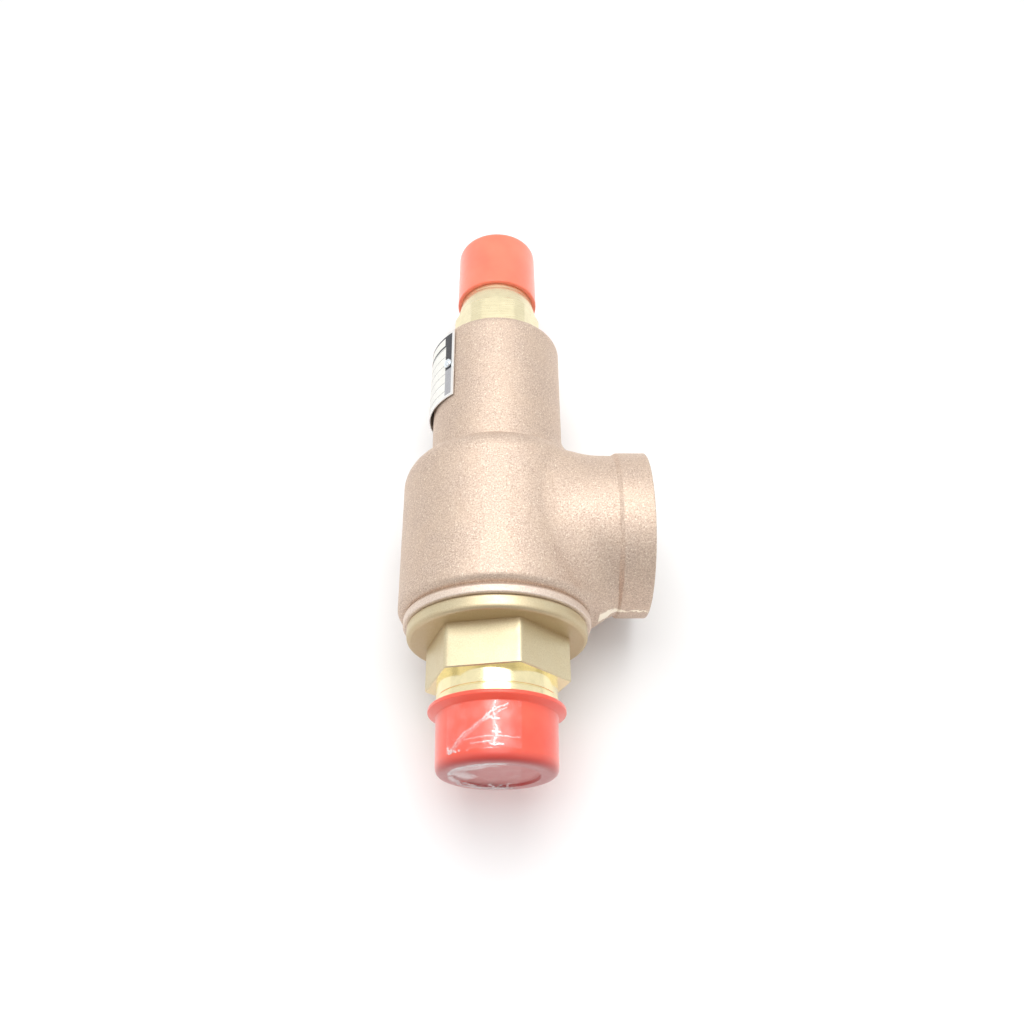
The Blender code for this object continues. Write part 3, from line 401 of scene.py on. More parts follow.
def mottled(name, roughness, lumps, dark, light, depth=0.0):
    """A dull finish, not metal. lumps holds the size, detail and roughness of its mottle."""
    finish = Finish(name, Metallic=0.0, Roughness=roughness)
    mottle = finish.noise(*lumps)
    finish.colour(finish.ramp(mottle, dark, light))
    if depth:
        finish.bump((mottle, depth))
    return finish.material


def plate_print_finish(name, dark, light, lumps_mm):
    return mottled(name, 0.42, (lumps_mm, 3.0, 0.7), (0.35, dark), (0.8, light), 0.004)


def pale_floor():
    return mottled("pale_floor", 0.6, (90.0, 2.0), (0.3, (0.9, 0.9, 0.9)), (0.7, (0.93, 0.93, 0.93)))


def seat_polymer():
    finish = Finish("seat_polymer", Metallic=0.0, Roughness=0.38)
    finish.colour(finish.ramp(finish.noise(2.5, 3.0), (0.3, (0.78, 0.77, 0.72)), (0.7, (0.88, 0.87, 0.84))))
    finish.bump((finish.noise(0.4, 2.0), 0.01))
    return finish.material


CAST = cast_bronze()
CUT_BRONZE = machined("machined_bronze", (0.86, 0.72, 0.55), 0.3, 0.35)
NOZZLE_BRASS = blasted_brass()
TURNED_BRASS = machined("turned_brass", (0.86, 0.76, 0.46), 0.2, 0.3)
CAP_BRASS = machined("cap_brass", (0.79, 0.71, 0.47), 0.3, 0.4)
INNER_BRASS = machined("inner_brass", (0.8, 0.68, 0.4), 0.28, 0.3)
STEEL = machined("steel", (0.62, 0.64, 0.67), 0.3, 0.3)
BRIGHT_STEEL = machined("bright_steel", (0.78, 0.83, 0.87), 0.2, 0.3, 0.002)
SPRING_STEEL = machined("spring_steel", (0.24, 0.25, 0.27), 0.42, 0.6)
# The inlet protector's last colour is its flat end, darkened as painted shade.
RED = red_plastic("red_plastic", (0.86, 0.085, 0.045), (0.92, 0.12, 0.065), (0.42, 0.03, 0.025))
# A paler copy of the red plastic for the top protector: painted light, the same plastic drawn as if more
# brightly lit.
RED_PAINTED_PALER = red_plastic("red_plastic_painted_paler", (0.93, 0.18, 0.1), (0.96, 0.22, 0.125), (0.93, 0.18, 0.1))
FILM = clear_film()
PLATE_METAL = plate_metal()
PLATE_INK = plate_print_finish("plate_ink", (0.022, 0.022, 0.026), (0.075, 0.075, 0.085), 0.7)
PLATE_GREY = plate_print_finish("plate_grey", (0.3, 0.3, 0.32), (0.48, 0.48, 0.5), 0.7)
PLATE_FIELD = plate_print_finish("plate_field", (0.78, 0.77, 0.72), (0.88, 0.87, 0.83), 3.0)
GASKET = mottled("gasket", 0.8, (0.8, 4.0, 0.7), (0.3, (0.2, 0.19, 0.18)), (0.7, (0.42, 0.4, 0.37)), 0.05)
SEAT = seat_polymer()


# Shapes


def eased(outline):
    """The outline with an arc in place of each corner that carries a third number."""
    points = []
    for i, corner in enumerate(outline):
        here = np.array(corner[:2], float)
        size = corner[2] if len(corner) > 2 else 0.0
        if not size:
            points.append(here)
            continue
        before = np.array(outline[i - 1][:2], float) - here
        after = np.array(outline[(i + 1) % len(outline)][:2], float) - here
        lengths = np.linalg.norm(before), np.linalg.norm(after)
        half = math.acos(np.clip(before @ after / (lengths[0] * lengths[1]), -1.0, 1.0)) / 2.0
        back = min(size / max(math.tan(half), 0.05), 0.48 * min(lengths))
        start, end = here + before / lengths[0] * back, here + after / lengths[1] * back
        for t in np.linspace(0.0, 1.0, 6):
            points.append((1 - t) ** 2 * start + 2 * t * (1 - t) * here + t**2 * end)
    return np.array(points)


def refined(points, longest, closed):
    """The same line with no stretch longer than the stated length."""
    fine = []
    last = len(points) if closed else len(points) - 1
    for i in range(last):
        here, after = points[i], points[(i + 1) % len(points)]
        parts = max(1, math.ceil(np.linalg.norm(after - here) / longest))
        fine += [here + (after - here) * k / parts for k in range(parts)]
    if not closed:
        fine.append(points[-1])
    return np.array(fine)


def added(name, data):
    """A new object in the scene."""
    thing = bpy.data.objects.new(name, data)
    bpy.context.scene.collection.objects.link(thing)
    return thing


def mesh_thing(name, verts, faces, *materials):
    mesh = bpy.data.meshes.new(name)
    mesh.from_pydata(np.asarray(verts, float).tolist(), [], faces)
    for material in materials:
        mesh.materials.append(material)
    return added(name, mesh)


def lathe(name, outline, material, steps=144, closed=False, shape=None, longest=4.0):
    """A turned solid. shape(angles, radii, heights) may change the radii, for a hex or a thread."""
    line = refined(eased(outline), longest, closed)
    angles = np.arange(steps) * 2.0 * math.pi / steps
    rim = line if closed else line[1:-1]
    radii = np.repeat(rim[:, :1], steps, 1)
    heights = np.repeat(rim[:, 1:], steps, 1)
    if shape:
        radii = shape(angles[None, :], radii, heights)
    verts = np.stack([radii * np.cos(angles), radii * np.sin(angles), heights], 2).reshape(-1, 3)
    rows = len(rim)
    faces = []
    for j in range(rows if closed else rows - 1):
        below = (j + 1) % rows
        for i in range(steps):
            beside = (i + 1) % steps
            faces.append((j * steps + i, below * steps + i, below * steps + beside, j * steps + beside))
    if not closed:
        ends = len(verts)
        verts = np.vstack([verts, [0.0, 0.0, line[0, 1]], [0.0, 0.0, line[-1, 1]]])
        last = (rows - 1) * steps
        for i in range(steps):
            beside = (i + 1) % steps
            faces.append((ends, i, beside))
            faces.append((last + i, ends + 1, last + beside))
    thing = mesh_thing(name, verts, faces, material)
    return welded(thing) if shape else thing


def welded(thing):
    """Joins points that lie on one another."""
    shape = bmesh.new()
    shape.from_mesh(thing.data)
    bmesh.ops.remove_doubles(shape, verts=shape.verts, dist=0.002)
    shape.to_mesh(thing.data)
    shape.free()
    return thing


def added_shape(name, shape):
    mesh = bpy.data.meshes.new(name)
    shape.to_mesh(mesh)
    shape.free()
    return added(name, mesh)


def box_cutter(name, size, *places):
    """Boxes of one size, each moved by its own matrix, as one thing."""
    shape = bmesh.new()
    for where in places:
        bmesh.ops.create_cube(shape, size=1.0, matrix=where @ Matrix.Diagonal((*size, 1.0)))
    return added_shape(name, shape)


def soft_min(first, second, blend):
    near = np.maximum(blend - np.abs(first - second), 0.0)
    return np.minimum(first, second) - near * near / (4.0 * blend)


def around(angle):
    """Local polar angle, in radians, of a direction in degrees from the sky side to the outlet."""
    return math.radians(angle - 90.0)


def hexagon(flats, corner_angle, low, high, inside, round_low=0.0):
    """A shape that trims radii to a hexagon with eased corners, between two heights."""
    sharpness = 70.0

    def shape(angles, radii, heights):
        total = 0.0
        for k in range(6):
            face = around(corner_angle + 30.0 + 60.0 * k)
            total = total + np.maximum(np.cos(angles - face), 0.0) ** sharpness
        rise = np.clip(round_low - (heights - low), 0.0, round_low)
        limit = flats / 2.0 / total ** (1.0 / sharpness) - round_low + np.sqrt(round_low**2 - rise**2)
        here = (heights > low - 0.01) & (heights < high + 0.01) & (radii > inside)
        return np.where(here, soft_min(radii, limit, 0.4), radii)

    return shape


def in_turn(*shapes):
    """One shape after another."""

    def shape(angles, radii, heights):
        for step in shapes:
            radii = step(angles, radii, heights)
        return radii

    return shape


def thread(pitch, depth, low, high, fade, radius_range):
    """A shape that cuts a right-hand helical groove; a negative depth raises one, for a cutter."""

    def shape(angles, radii, heights):
        turn = (heights / pitch - angles / (2.0 * math.pi)) % 1.0
        groove = np.clip(1.18 * (1.0 - np.abs(2.0 * turn - 1.0)) - 0.09, 0.0, 1.0)
        room = np.minimum(heights - low, high - heights) / fade
        near = (radii > radius_range[0]) & (radii < radius_range[1])
        return radii - np.where(near, depth * groove * np.clip(room, 0.0, 1.0), 0.0)

    return shape


def aim_outwards(thing, angle, height):
    """Turns a shape made along Z so that it points away from the axis, before it is laid down."""
    turn = Matrix.Translation((0.0, 0.0, height)) @ Matrix.Rotation(around(angle), 4, "Z")
    thing.data.transform(turn @ Matrix.Rotation(math.pi / 2.0, 4, "Y"))
    return thing


def baked(thing):
    """Puts the result of a thing's modifiers into its mesh."""
    graph = bpy.context.evaluated_depsgraph_get()
    mesh = bpy.data.meshes.new_from_object(thing.evaluated_get(graph))
    thing.modifiers.clear()
    old = thing.data
    thing.data = mesh
    bpy.data.meshes.remove(old)
    mesh.name = thing.name
    return thing


def combined(thing, operation, *others):
    """Joins or cuts a thing with others, and removes them."""
    for other in others:
        modifier = thing.modifiers.new(other.name, "BOOLEAN")
        modifier.operation = operation
        modifier.object = other
        modifier.solver = "MANIFOLD"
        modifier.material_mode = "TRANSFER"
    baked(thing)
    for other in others:
        bpy.data.objects.remove(other)
    return thing


def smoothed(thing, sharp=32.0):
    """Lays a shape down along +Y in metres, and shades it smooth but for its sharp edges."""
    thing.data.transform(LAID)
    thing.data.shade_smooth()
    thing.data.set_sharp_from_angle(angle=math.radians(sharp))
    weighted = thing.modifiers.new("even_normals", "WEIGHTED_NORMAL")
    weighted.keep_sharp = True


def finished(thing, body, slot, *nodes, sharp=32.0):
    """Lays a shape down and hands it to the frame."""
    smoothed(thing, sharp)
    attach(thing, body)
    if nodes:
        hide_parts(*nodes)


def drill(name, radius, top, bottom, material, steps=32):
    """A round cutter along Z."""
    return lathe(name, [(0, top), (radius, top), (radius, bottom), (0, bottom)], material, steps=steps)


def drive_screw_holes(bottom, material):
    """Cutters for both drive screws, from outside the plate in to this radius."""
    holes = []
    for name, angle in DRIVE_SCREWS.items():
        cutter = drill(f"{name}_hole", 1.6, 45, bottom, material)
        holes.append(aim_outwards(cutter, -angle, DRIVE_SCREW_HEIGHT))
    return holes


def make_gasket(name, node, body, inner, outer):
    """A flat ring as high as its CAD node."""
    low, top = span(node)
    outline = [(inner, top, 0.2), (outer, top, 0.2), (outer, low), (inner, low)]
    finished(lathe(name, outline, GASKET, closed=True), body, "gasket", node)


# The casting


def rounded_cylinder(points, axis, centre, radius, low, high, edge):
    """Distance to, and direction away from, a cylinder whose two rims are rounded."""
    axis = np.array(axis, float)
    from_centre = points - np.array(centre, float)
    along = from_centre @ axis
    sideways = from_centre - along[:, None] * axis
    radial = np.linalg.norm(sideways, axis=1)
    sideways = sideways / np.maximum(radial, 1e-9)[:, None]
    endways = np.sign(along - (low + high) / 2.0)[:, None] * axis
    out = radial - radius + edge
    past = np.abs(along - (low + high) / 2.0) - (high - low) / 2.0 + edge
    u, v = np.maximum(out, 0.0), np.maximum(past, 0.0)
    corner = np.hypot(u, v)
    distance = corner + np.minimum(np.maximum(out, past), 0.0) - edge
    away = np.where((out > past)[:, None], sideways, endways)
    rounded = (u[:, None] * sideways + v[:, None] * endways) / np.maximum(corner, 1e-9)[:, None]
    return distance, np.where((corner > 0.0)[:, None], rounded, away)


def filleted(first, second, fillet):
    """Union of two shapes with a round fillet, which fades out where their skins run the same way."""
    (a, toward_a), (b, toward_b) = first, second
    size = fillet * np.maximum(1.0 - (toward_a * toward_b).sum(1) ** 2, 0.01)
    u, v = np.maximum(size - a, 0.0), np.maximum(size - b, 0.0)
    corner = np.hypot(u, v)
    distance = np.maximum(size, np.minimum(a, b)) - corner
    nearer = np.where((a < b)[:, None], toward_a, toward_b)
    blend = (u[:, None] * toward_a + v[:, None] * toward_b) / np.maximum(corner, 1e-9)[:, None]
    return distance, np.where((corner > 0.0)[:, None], blend, nearer)


def chosen(first, second, largest=False):
    """The nearer of two shapes at each point, or the farther one, which is what they share."""
    take = (first[0] > second[0]) if largest else (first[0] < second[0])
    return np.where(take, first[0], second[0]), np.where(take[:, None], first[1], second[1])


def casting_skin_at(points):
    """Distance and direction, in millimetres, from the casting's outer skin."""
    up, out = (0, 0, 1), (1, 0, 0)
    shoulder = rounded_cylinder(points, up, (0, 0, 0), BARREL_RADIUS, 0.0, BARREL_TOP, SHOULDER_ROUND)
    foot = rounded_cylinder(points, up, (0, 0, 0), BARREL_RADIUS, BARREL_LOW, BARREL_TOP + 50.0, FOOT_ROUND)
    barrel = chosen(shoulder, foot, largest=True)
    neck = rounded_cylinder(points, up, (0, 0, 0), NECK_RADIUS, OUTLET_HEIGHT, NECK_TOP, NECK_ROUND)
    centre = (0, 0, OUTLET_HEIGHT)
    branch = rounded_cylinder(points, out, centre, BRANCH_RADIUS, BRANCH_INNER, BRANCH_OUTER, 1.0)
    joined = chosen(filleted(barrel, neck, NECK_FILLET), filleted(barrel, branch, BRANCH_FILLET))
    return chosen(joined, filleted(neck, branch, BRANCH_FILLET))


def coordinates(mesh):
    places = np.empty(len(mesh.vertices) * 3)
    mesh.vertices.foreach_get("co", places)
    return places.reshape(-1, 3)


def move_points(mesh, places):
    mesh.vertices.foreach_set("co", places.ravel())
    mesh.update()


def settle(mesh, rounds):
    """Moves a mesh's points onto the casting's outer skin."""
    places = coordinates(mesh)
    for _ in range(rounds):
        distance, away = casting_skin_at(places)
        places -= distance[:, None] * away
    move_points(mesh, places)


def roughen(mesh, depth):
    """Gives a cast skin its faint lumps and dips."""
    normals = np.empty(len(mesh.vertices) * 3)
    mesh.vertex_normals.foreach_get("vector", normals)
    places = coordinates(mesh)
    lumps = []
    for place in places:
        broad = noise.noise(Vector(place) / 7.0)
        fine = noise.noise(Vector(place) / 2.2 + Vector((50, 0, 0)))
        lumps.append(depth * broad + 0.6 * depth * fine)
    places += normals.reshape(-1, 3) * np.array(lumps)[:, None]
    move_points(mesh, places)


def casting_skin():
    shape = bmesh.new()
    sideways = Matrix.Translation((0.0, 0.0, OUTLET_HEIGHT)) @ Matrix.Rotation(math.pi / 2.0, 4, "Y")
    blocks = [
        (BARREL_RADIUS, BARREL_LOW, BARREL_TOP, Matrix.Identity(4)),
        (NECK_RADIUS, OUTLET_HEIGHT, NECK_TOP, Matrix.Identity(4)),
        (BRANCH_RADIUS, BRANCH_INNER, BRANCH_OUTER, sideways),
    ]
    for radius, low, high, where in blocks:
        middle = where @ Matrix.Translation((0.0, 0.0, (low + high) / 2.0))
        size = {"radius1": radius, "radius2": radius, "depth": high - low}
        bmesh.ops.create_cone(shape, cap_ends=True, segments=96, matrix=middle, **size)
    skin = added_shape("valve_casting", shape)
    remesh = skin.modifiers.new("one_skin", "REMESH")
    remesh.mode = "VOXEL"
    remesh.voxel_size = 4.0
    baked(skin)
    settle(skin.data, 8)
    smooth = skin.modifiers.new("smooth", "SUBSURF")
    smooth.levels = 2
    smooth.render_levels = 2
    baked(skin)
    settle(skin.data, 4)
    roughen(skin.data, 0.07)
    skin.data.materials.clear()
    skin.data.materials.append(CAST)
    return skin


def body_ring():
    ring = lathe(
        "body_ring",
        [(0, 88), (48.4, 88), (48.4, 82.2, 0.8), (BODY_RING_RADIUS, BODY_RING_TOP - 0.6, 0.9)]
        + [(BODY_RING_RADIUS, BODY_LOW, 1.0), (0, BODY_LOW)],
        CAST,
        longest=1.5,
        steps=200,
    )
    roughen(ring.data, 0.06)
    return ring


def outlet_collar():
    low = COLLAR_INNER - 0.9
    collar = lathe(
        "collar",
        [(0, OUTLET_FACE), (COLLAR_RADIUS, OUTLET_FACE, 0.8), (COLLAR_RADIUS, COLLAR_INNER + 2.4, 2.0)]
        + [(BRANCH_RADIUS - 0.4, low), (0, low)],
        CAST,
        longest=1.5,
        steps=200,
    )
    roughen(collar.data, 0.06)
    return aim_outwards(collar, 90.0, OUTLET_HEIGHT)


def cap_boss():
    """The threaded end of the neck, which carries the cap."""
    return lathe(
        "boss",
        [(0, BOSS_TOP), (18.6, BOSS_TOP, 0.8), (18.6, 258), (0, 258)],
        CUT_BRONZE,
        longest=0.4,
        shape=thread(2.0, 1.1, NECK_TOP + 1.5, BOSS_TOP - 0.3, 1.0, (17, 20)),
    )


def inner_hollow():
    """The space along the axis: screw thread, spring chamber, guide seat, body and nozzle seat."""
    seat_low, seat_top = GUIDE_SEAT
    return lathe(
        "hollow",
        [(0, 280), (11.9, 280), (11.9, 249.5), (29, 249.5), (31, 247.5), (31, seat_top)]
        + [(GUIDE_SEAT_RADIUS, seat_top), (GUIDE_SEAT_RADIUS, seat_low), (46, 156, 6), (46, 97, 4)]
        + [(40.4, 93), (40.4, 78.3), (45.5, 78.3), (45.5, 70), (0, 70)],
        CUT_BRONZE,
    )


def outlet_hollow():
    end = OUTLET_FACE
    socket = lathe(
        "outlet_hollow",
        [(0, end + 12), (37.9, end + 12), (37.9, end), (35.6, end - 2.2), (34.9, end - 26)]
        + [(33.5, end - 27.5), (33.5, 8), (0, 8)],
        CUT_BRONZE,
        longest=0.45,
        shape=thread(OUTLET_THREAD_PITCH, -1.6, end - 26, end + 2.0, 2.5, (34.8, 37.95)),
    )
    return aim_outwards(socket, 90.0, OUTLET_HEIGHT)


def make_casting():
    casting = casting_skin()
    solids = body_ring(), outlet_collar(), cap_boss()
    hollows = inner_hollow(), outlet_hollow()
    lock_hole = drill("lock_hole", 3.7, 60, 40, CUT_BRONZE, 48)
    aim_outwards(lock_hole, LOCK_SCREW_ANGLE, LOCK_SCREW_HEIGHT)
    screw_holes = drive_screw_holes(33.5, CUT_BRONZE)
    combined(casting, "UNION", *solids)
    combined(casting, "DIFFERENCE", *hollows, lock_hole, *screw_holes)
    finished(casting, BODY, "cast_bronze", "body_casting")


def make_nozzle():
    corner = NOZZLE_HEX_FLATS / math.sqrt(3.0) + 0.6
    top = BODY_LOW - 0.02
    groove = RING_RADIUS - 0.45
    outline = [(THROAT, SEAT_HEIGHT), (19.7, SEAT_HEIGHT), (19.7, 114.5), (22.2, 113), (22.2, 97), (27, 92)]
    outline += [(39, 92), (40, 91), (40, 78.5), (39.2, 77.7), (39.2, top), (FLANGE_RADIUS, top, 1.1)]
    outline += [(FLANGE_RADIUS, FLANGE_LOW, 3.0), (corner, FLANGE_LOW), (corner, NOZZLE_HEX_LOW)]
    outline += [(RING_RADIUS, NOZZLE_HEX_LOW), (RING_RADIUS, 38.6, 0.15), (groove, 38.3, 0.15)]
    outline += [(groove, 37.9, 0.15), (RING_RADIUS, 37.6, 0.15), (RING_RADIUS, RING_LOW, 0.6)]
    outline += [(28.6, RING_LOW), (28.6, 32.6), (THREAD_RADII[1], THREAD_TOP)]
    outline += [(THREAD_RADII[0], THREAD_END + 4.0), (26.2, THREAD_END), (INLET_BORE, THREAD_END, 0.4)]
    outline += [(INLET_BORE, 24, 4), (THROAT, 52, 8)]
    low, high = THREAD_END + 0.6, THREAD_TOP + 1.0
    nozzle = lathe(
        "turned_nozzle",
        outline,
        NOZZLE_BRASS,
        steps=288,
        closed=True,
        shape=in_turn(
            hexagon(NOZZLE_HEX_FLATS, NOZZLE_HEX_CORNER, NOZZLE_HEX_LOW, FLANGE_LOW, RING_RADIUS + 0.2, 0.7),
            thread(INLET_THREAD_PITCH, 1.5, low, high, 1.5, (27.9, 30.2)),
        ),
        longest=0.5,
    )
    nozzle.data.materials.append(TURNED_BRASS)
    for face in nozzle.data.polygons:
        middle = face.center
        in_bore = math.hypot(middle.x, middle.y) < INLET_BORE + 0.2
        turned = middle.z < NOZZLE_HEX_LOW + 0.02 or middle.z > FLANGE_TOP
        face.material_index = int(turned or in_bore)
    finished(nozzle, BODY, "nozzle_brass", "inlet_nozzle")
    make_gasket("flange_gasket", "nozzle_gasket", BODY, 41, 45.2)


def make_regulator():
    low, top = REGULATOR_LOW, REGULATOR_TOP
    outline = [(22.5, top, 0.4), (27.5, top, 0.4), (29, top - 1.5, 0.3), (29, low, 0.4), (22.5, low, 0.4)]
    ring = lathe("blowdown_ring", outline, INNER_BRASS, closed=True)
    out = Matrix.Translation((29.0, 0.0, low))
    places = [Matrix.Rotation(math.radians(15.0 * i), 4, "Z") @ out for i in range(24)]
    combined(ring, "DIFFERENCE", box_cutter("notches", (5.0, 3.2, 16.0), *places))
    finished(ring, "regulator_ring", "inner_brass", "regulator_ring")
    screw = lathe(
        "lock_screw",
        [(0, 51.6), (3.4, 51.6, 0.4), (3.4, 38, 0.3), (1.3, 36.5), (1.3, 30, 0.3), (0, 29.6)],
        STEEL,
        steps=96,
        shape=thread(1.0, 0.55, 38.5, 51.0, 0.8, (3.2, 3.5)),
        longest=0.25,
    )
    slot = box_cutter("slot", (1.0, 10.0, 3.0), Matrix.Translation((0, 0, 51.6)))
    for thing in (screw, slot):
        aim_outwards(thing, LOCK_SCREW_ANGLE, LOCK_SCREW_HEIGHT)
    finished(combined(screw, "DIFFERENCE", slot), "ring_lock_screw", "steel", "ring_lock_screw")


def make_disc_stack():
    stack = "disc_stack"
    hole = DISC_SCREW_HOLE
    low, top = span("disc_holder")
    holder = lathe(
        "disc_carrier",
        [(0, 136), (7.1, 136), (7.1, top), (14, top, 1), (14, 129, 1.5), (HOLDER_RADIUS, 127, 0.6)]
        + [(HOLDER_RADIUS, low, 0.3), (21.5, low, 0.3), (21.5, 117), (19.5, 117), (19.5, 120.3)]
        + [(hole, 120.3), (hole, 128), (0, 128)],
        INNER_BRASS,
    )
    finished(holder, stack, "inner_brass", "disc_holder")
    low, top = span("seat_disc")
    disc = [(hole, top), (19.2, top, 0.2), (19.2, low, 0.2), (hole, low)]
    finished(lathe("seating_disc", disc, SEAT, closed=True), stack, "seat_polymer", "seat_disc")
    low, top = span("disc_retainer")
    washer = [(hole, top), (12.5, top, 0.2), (12.5, low + 0.8, 0.2), (11.7, low, 0.2), (hole, low)]
    finished(lathe("disc_washer", washer, STEEL, closed=True), stack, "steel", "disc_retainer")
    low, top = span("disc_retainer_screw")
    head = low + 3.2
    screw = lathe(
        "disc_screw",
        [(0, top), (2.5, top, 0.4), (2.5, head), (4.6, head, 0.2), (4.6, low, 0.8), (0, low)],
        STEEL,
        steps=64,
    )
    slot = box_cutter("slot", (12.0, 1.1, 2.6), Matrix.Translation((0, 0, low)))
    finished(combined(screw, "DIFFERENCE", slot), stack, "steel", "disc_retainer_screw")


def make_guide():
    foot, top = span("disc_guide")
    flange = GUIDE_SEAT[0] + 0.6
    rim = GUIDE_SEAT_RADIUS - GAP
    guide = lathe(
        "guide_sleeve",
        [(14.3, top, 0.3), (rim, top, 0.4), (rim, flange, 0.4)]
        + [(19.5, flange, 1.5), (19.5, foot, 1), (14.3, foot, 0.4)],
        INNER_BRASS,
        closed=True,
    )
    vents = []
    for i in range(4):
        vent = drill(f"vent_{i}", 2.8, 180, 160, INNER_BRASS)
        angle = math.pi * (i + 0.5) / 2.0
        vent.data.transform(Matrix.Translation((27.5 * math.cos(angle), 27.5 * math.sin(angle), 0)))
        vents.append(vent)
    finished(combined(guide, "DIFFERENCE", *vents), BODY, "inner_brass", "disc_guide")


def make_spindle():
    tip, top = span("spindle")
    stem = SPINDLE_RADIUS
    spindle = lathe(
        "valve_spindle",
        [(0, top), (stem, top, 1.2), (stem, 190, 0.2), (9.5, 190, 0.3), (9.5, 186, 0.3)]
        + [(stem, 184), (stem, 141), (3, tip + 0.7, 1), (0, tip)],
        STEEL,
        steps=72,
    )
    finished(spindle, "disc_stack", "steel", "spindle")


def spring_height(turn):
    """Height of the wire's centre: the end half turns lie closer than the rest."""
    pitch = (SPRING_TOP - SPRING_LOW - SPRING_WIRE - SPRING_CLOSE) / (SPRING_TURNS - 1.0)
    height = SPRING_LOW + SPRING_WIRE / 2.0 + SPRING_CLOSE * min(turn, 0.5)
    height += pitch * min(max(turn - 0.5, 0.0), SPRING_TURNS - 1.0)
    return height + SPRING_CLOSE * max(turn - SPRING_TURNS + 0.5, 0.0)


def spring_turn(height):
    """The turn at which the wire's centre has come up to this height."""
    low, high = 0.0, SPRING_TURNS
    for _ in range(30):
        middle = (low + high) / 2.0
        low, high = (middle, high) if spring_height(middle) < height else (low, middle)
    return low


def coil(name, first, last):
    """A stretch of the spring's wire between two turns."""
    curve = bpy.data.curves.new(name, "CURVE")
    curve.dimensions = "3D"
    curve.bevel_depth = SPRING_WIRE / 2.0
    curve.bevel_resolution = 6
    curve.use_fill_caps = True
    spline = curve.splines.new("POLY")
    count = int((last - first) * 40) + 1
    spline.points.add(count - 1)
    for i, point in enumerate(spline.points):
        turn = first + (last - first) * i / (count - 1)
        angle = 2.0 * math.pi * turn
        place = SPRING_RING * math.cos(angle), SPRING_RING * math.sin(angle), spring_height(turn)
        point.co = (*place, 1.0)
    wire = added(f"{name}_curve", curve)
    bpy.context.view_layer.update()
    graph = bpy.context.evaluated_depsgraph_get()
    mesh = bpy.data.meshes.new_from_object(wire.evaluated_get(graph))
    bpy.data.objects.remove(wire)
    mesh.materials.clear()
    mesh.materials.append(SPRING_STEEL)
    return welded(added(name, mesh))


def make_spring_set():
    edge = STEP_RADIUS
    low, top = span("lower_spring_step")
    lower = [(6.9, top, 0.3), (14.8, top, 0.3), (16.8, top - 2, 0.5), (16.8, top - 5, 0.4)]
    lower += [(edge, top - 5, 0.4), (edge, low + 2.7, 0.5), (13, low, 0.4), (6.9, low)]
    finished(lathe("lower_step", lower, STEEL, closed=True), "disc_stack", "steel", "lower_spring_step")
    top = span("upper_spring_step")[1]
    low = top - 10.5
    upper = [(7.2, top), (13, top, 0.4), (edge, top - 2.5, 0.5), (edge, low + 5, 0.4)]
    upper += [(16.8, low + 5, 0.4), (16.8, low + 2, 0.5), (14.8, low, 0.3), (7.2, low)]
    step = lathe("upper_step", upper, STEEL, closed=True)
    finished(step, "upper_spring_step", "steel", "upper_spring_step")
    cut = SPRING_LOW + SPRING_SPLIT * (SPRING_TOP - SPRING_LOW)
    first = spring_turn(cut)
    gap = 0.2 / (2.0 * math.pi * SPRING_RING)
    lower_part = coil("set_spring_lower", 0.0, first)
    upper_part = coil("set_spring_upper", first + gap, SPRING_TURNS)
    finished(lower_part, BODY, "spring_steel", "main_spring")
    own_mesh(lower_part)
    smoothed(upper_part)
    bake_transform(upper_part)
    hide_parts("main_spring")


def make_adjuster():
    screw = lathe(
        "compression_screw",
        [(7.1, ADJUSTER_TOP, 0.3), (10.2, ADJUSTER_TOP, 0.6), (10.2, 283), (11.6, 283, 0.9)]
        + [(11.6, ADJUSTER_LOW, 1), (7.1, ADJUSTER_LOW, 0.3)],
        INNER_BRASS,
        closed=True,
        steps=192,
        longest=0.35,
        shape=in_turn(
            hexagon(17.0, 0.0, 283.05, 293, 7.5),
            thread(2.0, 1.05, 248.5, 281.5, 1.0, (11.3, 11.7)),
        ),
    )
    finished(screw, "adjusting_screw", "inner_brass", "adjusting_screw")
    wide = 30.0 / math.sqrt(3.0) + 0.5
    narrow = wide - 3.1
    nut = lathe(
        "jam_nut",
        [(11.9, NUT_TOP, 0.3), (narrow, NUT_TOP, 0.2), (wide, NUT_TOP - 1.7), (wide, NUT_LOW + 1.7)]
        + [(narrow, NUT_LOW, 0.2), (11.9, NUT_LOW, 0.3)],
        INNER_BRASS,
        closed=True,
        steps=192,
        longest=0.5,
        shape=hexagon(30.0, 10.0, NUT_LOW, NUT_TOP, 12.5),
    )
    finished(nut, "adjusting_lock_nut", "inner_brass", "adjusting_lock_nut")


def make_top_cap():
    (taper_tip, taper_top), (taper_foot, taper_low) = CAP_TAPER
    corner = CAP_CORNER_RADIUS
    outline = [(0, CAP_END), (CAP_RADIUS, CAP_END, 1.5), (CAP_RADIUS, taper_top, 0.3)]
    outline += [(taper_tip, taper_top), (taper_foot, taper_low, 0.5), (corner, CAP_HEX_TOP, 0.4)]
    outline += [(corner, CAP_LOW + 0.8, 0.3), (corner - 0.8, CAP_LOW), (19, CAP_LOW, 0.3)]
    outline += [(19, 293, 1.5), (15.5, 296, 1), (15.5, 331, 2), (0, 331)]
    cap = lathe(
        "brass_cap",
        outline,
        CAP_BRASS,
        steps=288,
        longest=0.5,
        shape=hexagon(CAP_HEX_FLATS, CAP_HEX_CORNER, CAP_LOW, taper_top, CAP_RADIUS + 0.1),
    )
    finished(cap, "top_cap", "cap_brass", "top_cap")
    make_gasket("cap_washer", "cap_gasket", "cap_gasket", 19, 21.9)


